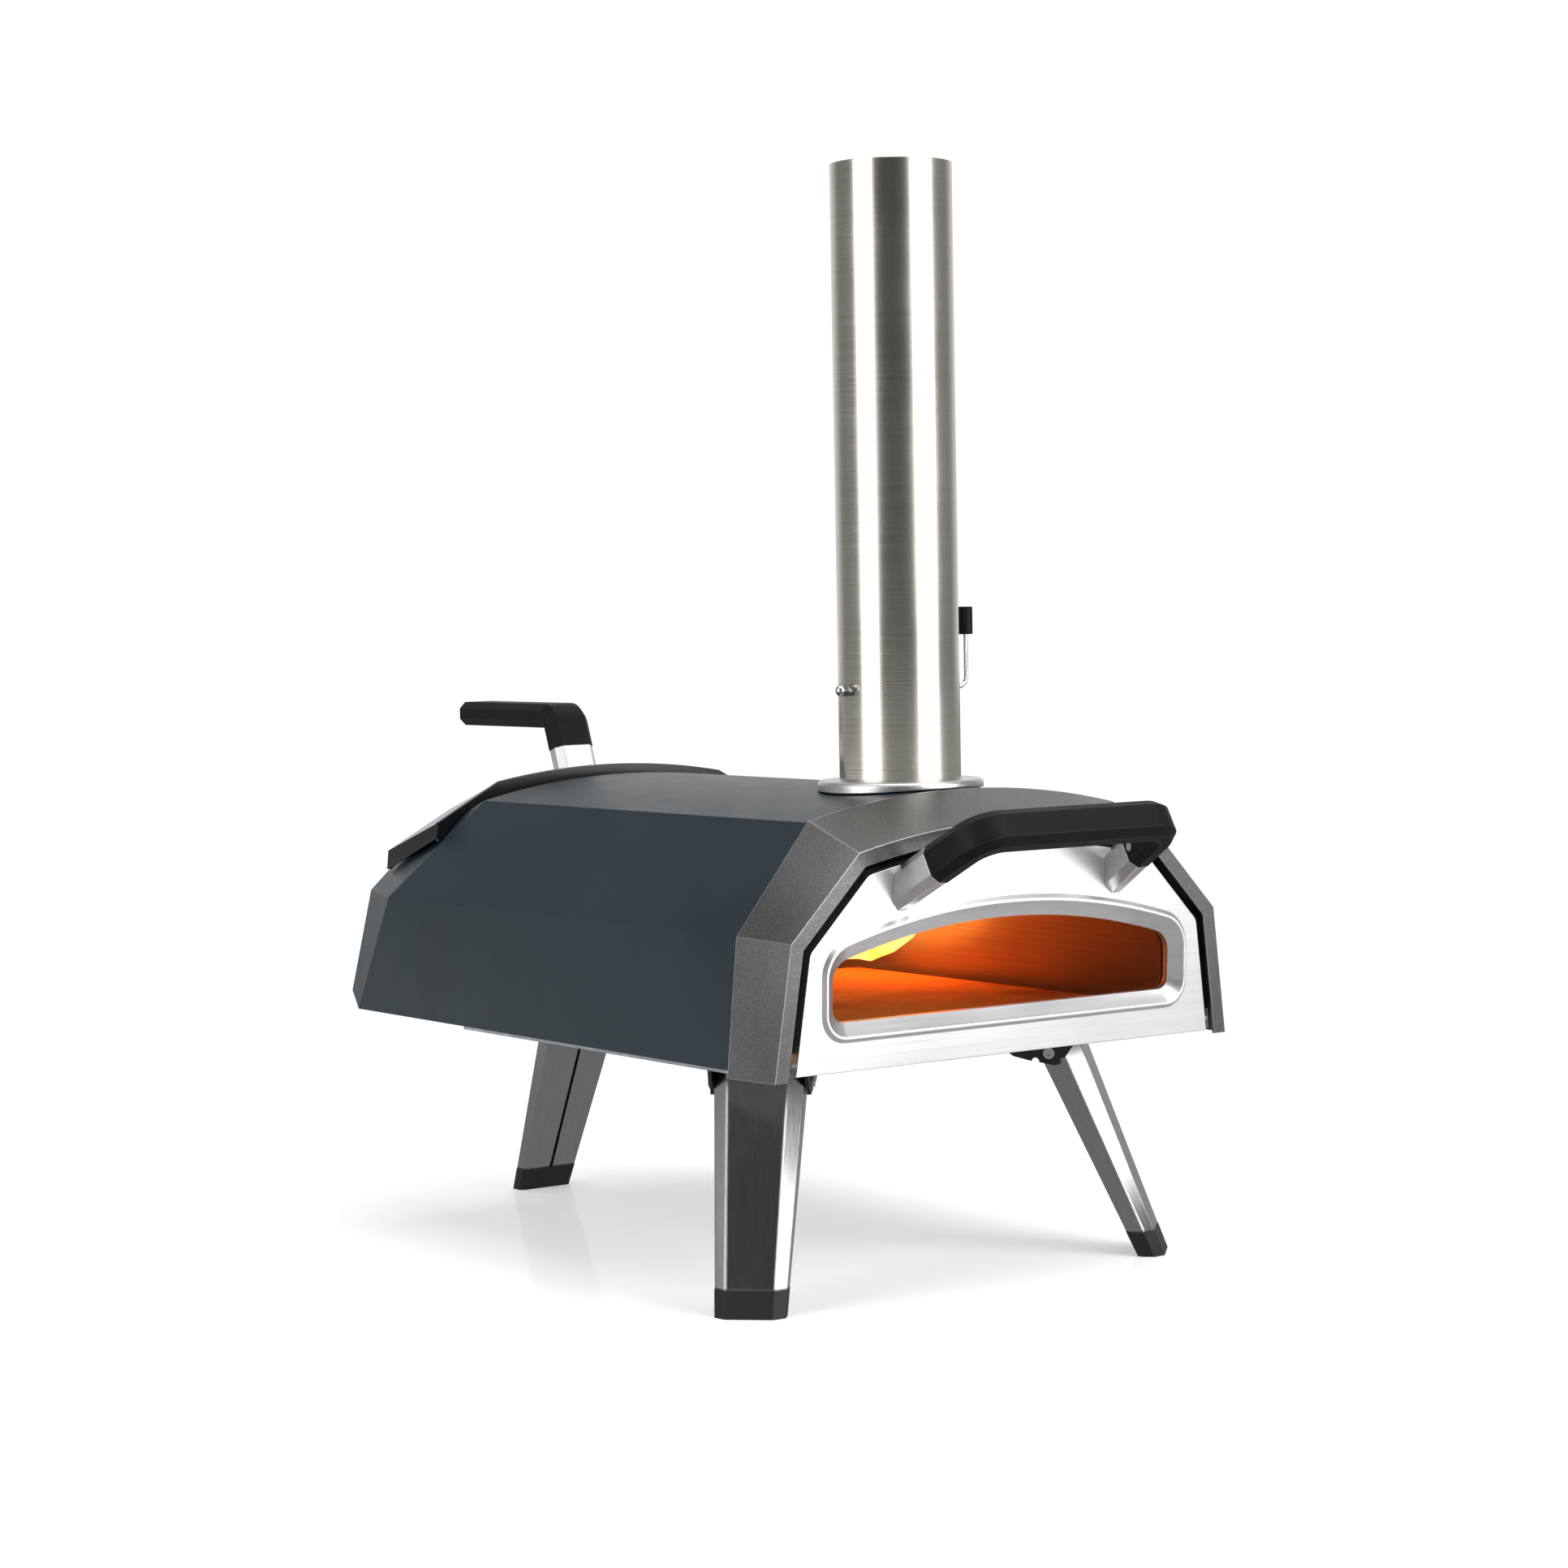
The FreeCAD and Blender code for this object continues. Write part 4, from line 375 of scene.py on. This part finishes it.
def material_for(node, slot_name):
    """A node's own finish where it has one, or its slot's."""
    if node == "door_panel":
        return MATERIALS["door_steel"].material
    if node == "chimney_tube":
        return MATERIALS["chimney_steel"].material
    if node.startswith("leg_") and node[4:] in LEG_HEADINGS:
        return MATERIALS[node].material
    return MATERIALS[slot_name].material


for part in frame["record"]["subparts"]:
    item = frame["nodes"][part["node"]]
    item.data.materials.clear()
    item.data.materials.append(material_for(part["node"], part["material_slot"]))


# ---------------------------------------------------------------- fire in the chamber


def ring_faces(rings, sides):
    """Quads between each ring of points and the next."""
    faces = []
    for ring in range(rings):
        for step in range(sides):
            following = (step + 1) % sides
            faces.append((ring * sides + step, ring * sides + following,
                          (ring + 1) * sides + following, (ring + 1) * sides + step))
    return faces


def end_caps(rings, sides):
    """Polygons that close the first ring and the last."""
    return [tuple(reversed(range(sides))), tuple(range(rings * sides, (rings + 1) * sides))]


def fire_piece(name, vertices, faces, material, subdivided=False):
    """Smooth-shaded piece of the fire, which rides on the oven."""
    mesh = bpy.data.meshes.new(name)
    mesh.from_pydata([tuple(vertex) for vertex in vertices], [], faces)
    mesh.polygons.foreach_set("use_smooth", [True] * len(mesh.polygons))
    mesh.materials.append(material)
    piece = bpy.data.objects.new(name, mesh)
    scene.collection.objects.link(piece)
    if subdivided:
        smooth = piece.modifiers.new("smooth", "SUBSURF")
        smooth.levels = 1
        smooth.render_levels = 1
    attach(piece, "oven")
    return piece


def only_seen(flame):
    """The flame casts no shadow and lights nothing: the fire lights stand in for it."""
    flame.visible_shadow = False
    flame.visible_diffuse = False
    return flame


def flame_tongue(name, root, tip, width, curl, material):
    """A licking tongue: a closed tapered tube that bends from root to tip."""
    root = Vector(root)
    tip = Vector(tip)
    rings = 22
    sides = 18
    sway = 0.004
    thinnest = 0.0004
    flatness = 0.62
    vertices = []
    line = tip - root
    side = line.cross(Vector((0, 0, 1))).normalized()
    rise = side.cross(line).normalized()
    for ring in range(rings + 1):
        t = ring / rings
        swell = math.sin(math.pi * min(1.0, t * 0.94 + 0.06)) ** 0.75
        wobble = 1.0 + 0.16 * math.sin(9.0 * t + curl * 40.0)
        centre = root + line * t + rise * (curl * math.sin(math.pi * t))
        centre = centre + side * (sway * math.sin(7.0 * t))
        radius = width * swell * wobble + thinnest
        for step in range(sides):
            angle = 2 * math.pi * step / sides
            flare = 1.0 + 0.12 * math.sin(3 * angle + 6 * t)
            offset = side * math.cos(angle) + rise * (flatness * math.sin(angle))
            vertices.append(centre + offset * radius * flare)
    faces = ring_faces(rings, sides) + end_caps(rings, sides)
    return only_seen(fire_piece(name, vertices, faces, material, subdivided=True))


def flame_roll(name, centre, reach, ceiling, material):
    """Flame rolling forward under the roof: a closed swollen sheet with a ragged edge."""
    columns = 40
    rows = 20
    rear_gap = 0.006
    spread = 0.002
    vertices = []
    for row in range(rows + 1):
        polar = math.pi * row / rows
        swell = math.sin(polar)
        for column in range(columns):
            around = 2 * math.pi * column / columns
            ragged = (1.0 + 0.030 * math.sin(5 * around + 1.0) + 0.020 * math.sin(9 * around)
                      + 0.012 * math.sin(17 * around + 2.0))
            point = Vector(centre) + Vector((reach[0] * math.cos(polar),
                                             reach[1] * swell * math.cos(around) * ragged,
                                             reach[2] * swell * math.sin(around) * ragged))
            point.y = min(point.y, back - rear_gap - spread * swell)
            point.z = min(point.z, ceiling + spread * swell)
            vertices.append(point)
    return only_seen(fire_piece(name, vertices, ring_faces(rows, columns), material))


def log_piece(name, centre, length, radius, turn, lean, material):
    """Split log: an irregular wedge with rough bark, charred all over."""
    rings = 16
    sides = 14
    split_from = 1.2
    split_to = 3.0
    split_radius = 0.72
    vertices = []
    place = (Matrix.Translation(centre) @ Matrix.Rotation(math.radians(turn), 4, "Z")
             @ Matrix.Rotation(math.radians(lean), 4, "Y"))
    for ring in range(rings + 1):
        t = ring / rings
        for step in range(sides):
            angle = 2 * math.pi * step / sides
            flat = split_radius if split_from < angle < split_to else 1.0
            rough = 1.0 + 0.10 * math.sin(5 * angle + 3 * t) + random.uniform(-0.05, 0.05)
            reach = radius * flat * rough * (1.0 - 0.10 * abs(2 * t - 1) ** 4)
            vertices.append(place @ Vector(((t - 0.5) * length, reach * math.cos(angle),
                                            reach * math.sin(angle))))
    faces = ring_faces(rings, sides) + end_caps(rings, sides)
    return fire_piece(name, vertices, faces, material)


chamber_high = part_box("chamber_liner")[1]
stone_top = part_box("baking_stone")[1].z
grate_low, grate_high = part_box("fuel_grate")
grate_middle = (grate_low + grate_high) / 2
wall = chamber_high.x
back = chamber_high.y
roof = chamber_high.z
ROLL_CEILING = 0.268

FLAME_EDGE = (1.0, 0.60, 0.10, 1.0)
FLAME_CORE = (1.0, 0.92, 0.60, 1.0)
FLAME = glow("flame", FLAME_EDGE, FLAME_CORE, strength=2.2).material
CHAR = charcoal("charred_wood").material
# Each log's offset from the grate's middle, length, radius, turn and lean in degrees.
LOGS = (
    ("log_left", (-0.045, -0.012, 0.0185), 0.080, 0.015, 78, 3),
    ("log_right", (0.045, -0.010, 0.0185), 0.080, 0.015, 98, -3),
    ("log_top", (0.0, -0.010, 0.0445), 0.150, 0.014, 4, 2),
)
fire_pieces = [flame_roll("flame_roll", centre=(wall - 0.045, back - 0.085, stone_top + 0.074),
                          reach=(0.010, 0.105, 0.066), ceiling=ROLL_CEILING, material=FLAME)]
flame_tongue("flame_left", root=(-0.050, back - 0.012, roof - 0.080),
             tip=(-0.010, back - 0.105, roof - 0.040), width=0.022, curl=0.018, material=FLAME)
flame_tongue("flame_middle", root=(0.010, back - 0.012, roof - 0.078),
             tip=(0.055, back - 0.130, roof - 0.036), width=0.024, curl=0.020, material=FLAME)
for log_name, offset, length, radius, turn, lean in LOGS:
    fire_pieces.append(log_piece(log_name, grate_middle + Vector(offset), length, radius, turn,
                                 lean, CHAR))


# ---------------------------------------------------------------- floor and light


# The camera's azimuth in degrees. The softboxes and the room are placed from it.
CAMERA_SIDE = -36.11
FLOOR_REACH = 14.0
FIRE = (1.0, 0.135, 0.004)
WHITE = (1.0, 1.0, 1.0, 1.0)
AIM_POINT = Vector((0, 0, 0.32))
PLAIN_WHITE = 1.05


def soft_floor():
    """Pale floor that brightens to plain white away from the oven."""
    mesh = bpy.data.meshes.new("floor")
    corners = [(-FLOOR_REACH, -FLOOR_REACH, 0), (FLOOR_REACH, -FLOOR_REACH, 0),
               (FLOOR_REACH, FLOOR_REACH, 0), (-FLOOR_REACH, FLOOR_REACH, 0)]
    mesh.from_pydata(corners, [], [(0, 1, 2, 3)])
    floor = bpy.data.objects.new("floor", mesh)
    scene.collection.objects.link(floor)
    material = bpy.data.materials.new("floor")
    material.use_nodes = True
    tree = material.node_tree
    tree.nodes.clear()
    place = add_node(tree, "ShaderNodeTexCoord").outputs["Object"]
    distance = add_node(tree, "ShaderNodeVectorMath", {0: place}, operation="LENGTH")
    fade = add_node(tree, "ShaderNodeMapRange",
                    {"Value": distance.outputs["Value"], "From Min": 0.45, "From Max": 1.15},
                    interpolation_type="SMOOTHSTEP")
    matte = add_node(tree, "ShaderNodeBsdfDiffuse", {"Color": (0.86, 0.86, 0.86, 1.0)})
    mirror = add_node(tree, "ShaderNodeBsdfGlossy", {"Roughness": 0.08})
    surface = add_node(tree, "ShaderNodeMixShader",
                       {"Fac": 0.10, 1: matte.outputs[0], 2: mirror.outputs[0]})
    lift = add_node(tree, "ShaderNodeEmission", {"Strength": 0.35})
    lifted = add_node(tree, "ShaderNodeAddShader", {0: surface.outputs[0], 1: lift.outputs[0]})
    white = add_node(tree, "ShaderNodeEmission", {"Strength": PLAIN_WHITE})
    blend = add_node(tree, "ShaderNodeMixShader",
                     {"Fac": fade.outputs["Result"], 1: lifted.outputs[0], 2: white.outputs[0]})
    reflected = add_node(tree, "ShaderNodeEmission", {"Color": (0.34, 0.34, 0.34, 1.0)})
    path = add_node(tree, "ShaderNodeLightPath")
    choose = add_node(tree, "ShaderNodeMixShader",
                      {"Fac": path.outputs["Is Glossy Ray"], 1: blend.outputs[0],
                       2: reflected.outputs[0]})
    add_node(tree, "ShaderNodeOutputMaterial", {"Surface": choose.outputs[0]})
    mesh.materials.append(material)


def lamp(name, kind, watts, place):
    """Light that the camera doesn't see."""
    data = bpy.data.lights.new(name, kind)
    data.energy = watts
    item = bpy.data.objects.new(name, data)
    item.location = place
    item.visible_camera = False
    scene.collection.objects.link(item)
    return item


def panel(name, width, tall, watts, place):
    """Rectangular area light that faces down."""
    item = lamp(name, "AREA", watts, place)
    item.data.shape = "RECTANGLE"
    item.data.size = width
    item.data.size_y = tall
    return item


def softbox(name, azimuth, distance, height, width, tall, watts):
    """Upright panel aimed at the oven; azimuth is measured from straight in front."""
    angle = math.radians(azimuth)
    place = Vector((math.sin(angle) * distance, -math.cos(angle) * distance, height))
    item = panel(name, width, tall, watts, place)
    aim = AIM_POINT - place
    item.rotation_euler = aim.to_track_quat("-Z", "Y").to_euler()


def fire_light(name, place, watts, size):
    """Warm lamp that lights only what stands inside the chamber."""
    item = lamp(name, "POINT", watts, place)
    item.data.shadow_soft_size = size
    item.data.color = FIRE
    item.light_linking.receiver_collection = INSIDE


INSIDE = bpy.data.collections.new("inside")
for inner in ("chamber_liner", "baking_stone", "fuel_box", "fuel_tray", "fuel_grate", "door_glass",
              "door_inner_panel", "chimney_spigot", "hatch_insulation"):
    INSIDE.objects.link(frame["nodes"][inner])
for piece in fire_pieces:
    INSIDE.objects.link(piece)


def surroundings():
    """Studio room: plain white seen directly, greyer where it lights the oven."""
    world = bpy.data.worlds.new("studio")
    world.use_nodes = True
    tree = world.node_tree
    tree.nodes.clear()
    place = add_node(tree, "ShaderNodeTexCoord").outputs["Generated"]
    turn = math.radians(CAMERA_SIDE)
    toward = (math.sin(turn), -math.cos(turn), 0.0)
    facing = add_node(tree, "ShaderNodeVectorMath", {0: place, 1: toward},
                      operation="DOT_PRODUCT").outputs["Value"]
    shade = add_node(tree, "ShaderNodeMapRange",
                     {"Value": facing, "From Min": 0.75, "From Max": -0.1,
                      "To Min": 0.07, "To Max": 0.24})
    rear = add_node(tree, "ShaderNodeMapRange",
                    {"Value": facing, "From Min": -0.55, "From Max": -1.0,
                     "To Min": 0.0, "To Max": 0.75})
    strength = add_node(tree, "ShaderNodeMath",
                        {0: shade.outputs["Result"], 1: rear.outputs["Result"]})
    room = add_node(tree, "ShaderNodeBackground",
                    {"Color": WHITE, "Strength": strength.outputs[0]})
    plain = add_node(tree, "ShaderNodeBackground", {"Color": WHITE, "Strength": PLAIN_WHITE})
    path = add_node(tree, "ShaderNodeLightPath")
    choose = add_node(tree, "ShaderNodeMixShader",
                      {"Fac": path.outputs["Is Camera Ray"], 1: room.outputs[0],
                       2: plain.outputs[0]})
    add_node(tree, "ShaderNodeOutputWorld", {"Surface": choose.outputs[0]})
    scene.world = world


surroundings()
soft_floor()
softbox("left_box", azimuth=CAMERA_SIDE - 52.0, distance=2.3, height=0.85, width=1.55, tall=2.3,
        watts=36.0)
softbox("right_box", azimuth=CAMERA_SIDE + 55.0, distance=2.3, height=0.80, width=1.60, tall=2.3,
        watts=56.0)
softbox("low_left", azimuth=CAMERA_SIDE - 108.0, distance=1.5, height=0.12, width=1.2, tall=0.24,
        watts=0.7)
panel("overhead", width=2.9, tall=2.9, watts=55.0, place=(0.15, -0.45, 2.7))
fire_light("fire_roll", (wall - 0.050, back - 0.085, stone_top + 0.050), watts=0.34, size=0.02)
fire_light("fire_front", (wall - 0.032, back - 0.155, roof - 0.062), watts=0.48, size=0.010)
fire_light("fire_back", (0.0, back - 0.10, roof - 0.075), watts=0.07, size=0.03)
fire_light("fire_grate", (0.0, grate_middle.y - 0.02, grate_high.z + 0.062), watts=0.3, size=0.02)


# ---------------------------------------------------------------- camera


CAMERA_PLACE = (-1.5626, -2.18775, 0.4866)
CAMERA_PITCH = 3.02
CAMERA_ROLL = -1.03
FOCAL_LENGTH = 81.53
SENSOR_WIDTH = 36.0


def make_camera():
    """Long lens from the front left, a little above the door, rolled by a degree."""
    data = bpy.data.cameras.new("camera")
    data.sensor_width = SENSOR_WIDTH
    data.lens = FOCAL_LENGTH
    data.clip_start = 0.05
    data.clip_end = 60.0
    camera = bpy.data.objects.new("camera", data)
    scene.collection.objects.link(camera)
    turn = math.radians(CAMERA_SIDE)
    pitch = math.radians(CAMERA_PITCH)
    roll = math.radians(CAMERA_ROLL)
    behind = Vector((math.sin(turn) * math.cos(pitch), -math.cos(turn) * math.cos(pitch),
                     math.sin(pitch)))
    right = Vector((math.cos(turn), math.sin(turn), 0.0))
    above = right.cross(-behind)
    rolled_right = right * math.cos(roll) + above * math.sin(roll)
    rolled_up = above * math.cos(roll) - right * math.sin(roll)
    basis = Matrix((rolled_right, rolled_up, behind)).transposed().to_4x4()
    camera.matrix_world = Matrix.Translation(CAMERA_PLACE) @ basis
    scene.camera = camera


make_camera()
scene.view_settings.view_transform = "Standard"
scene.view_settings.look = "None"
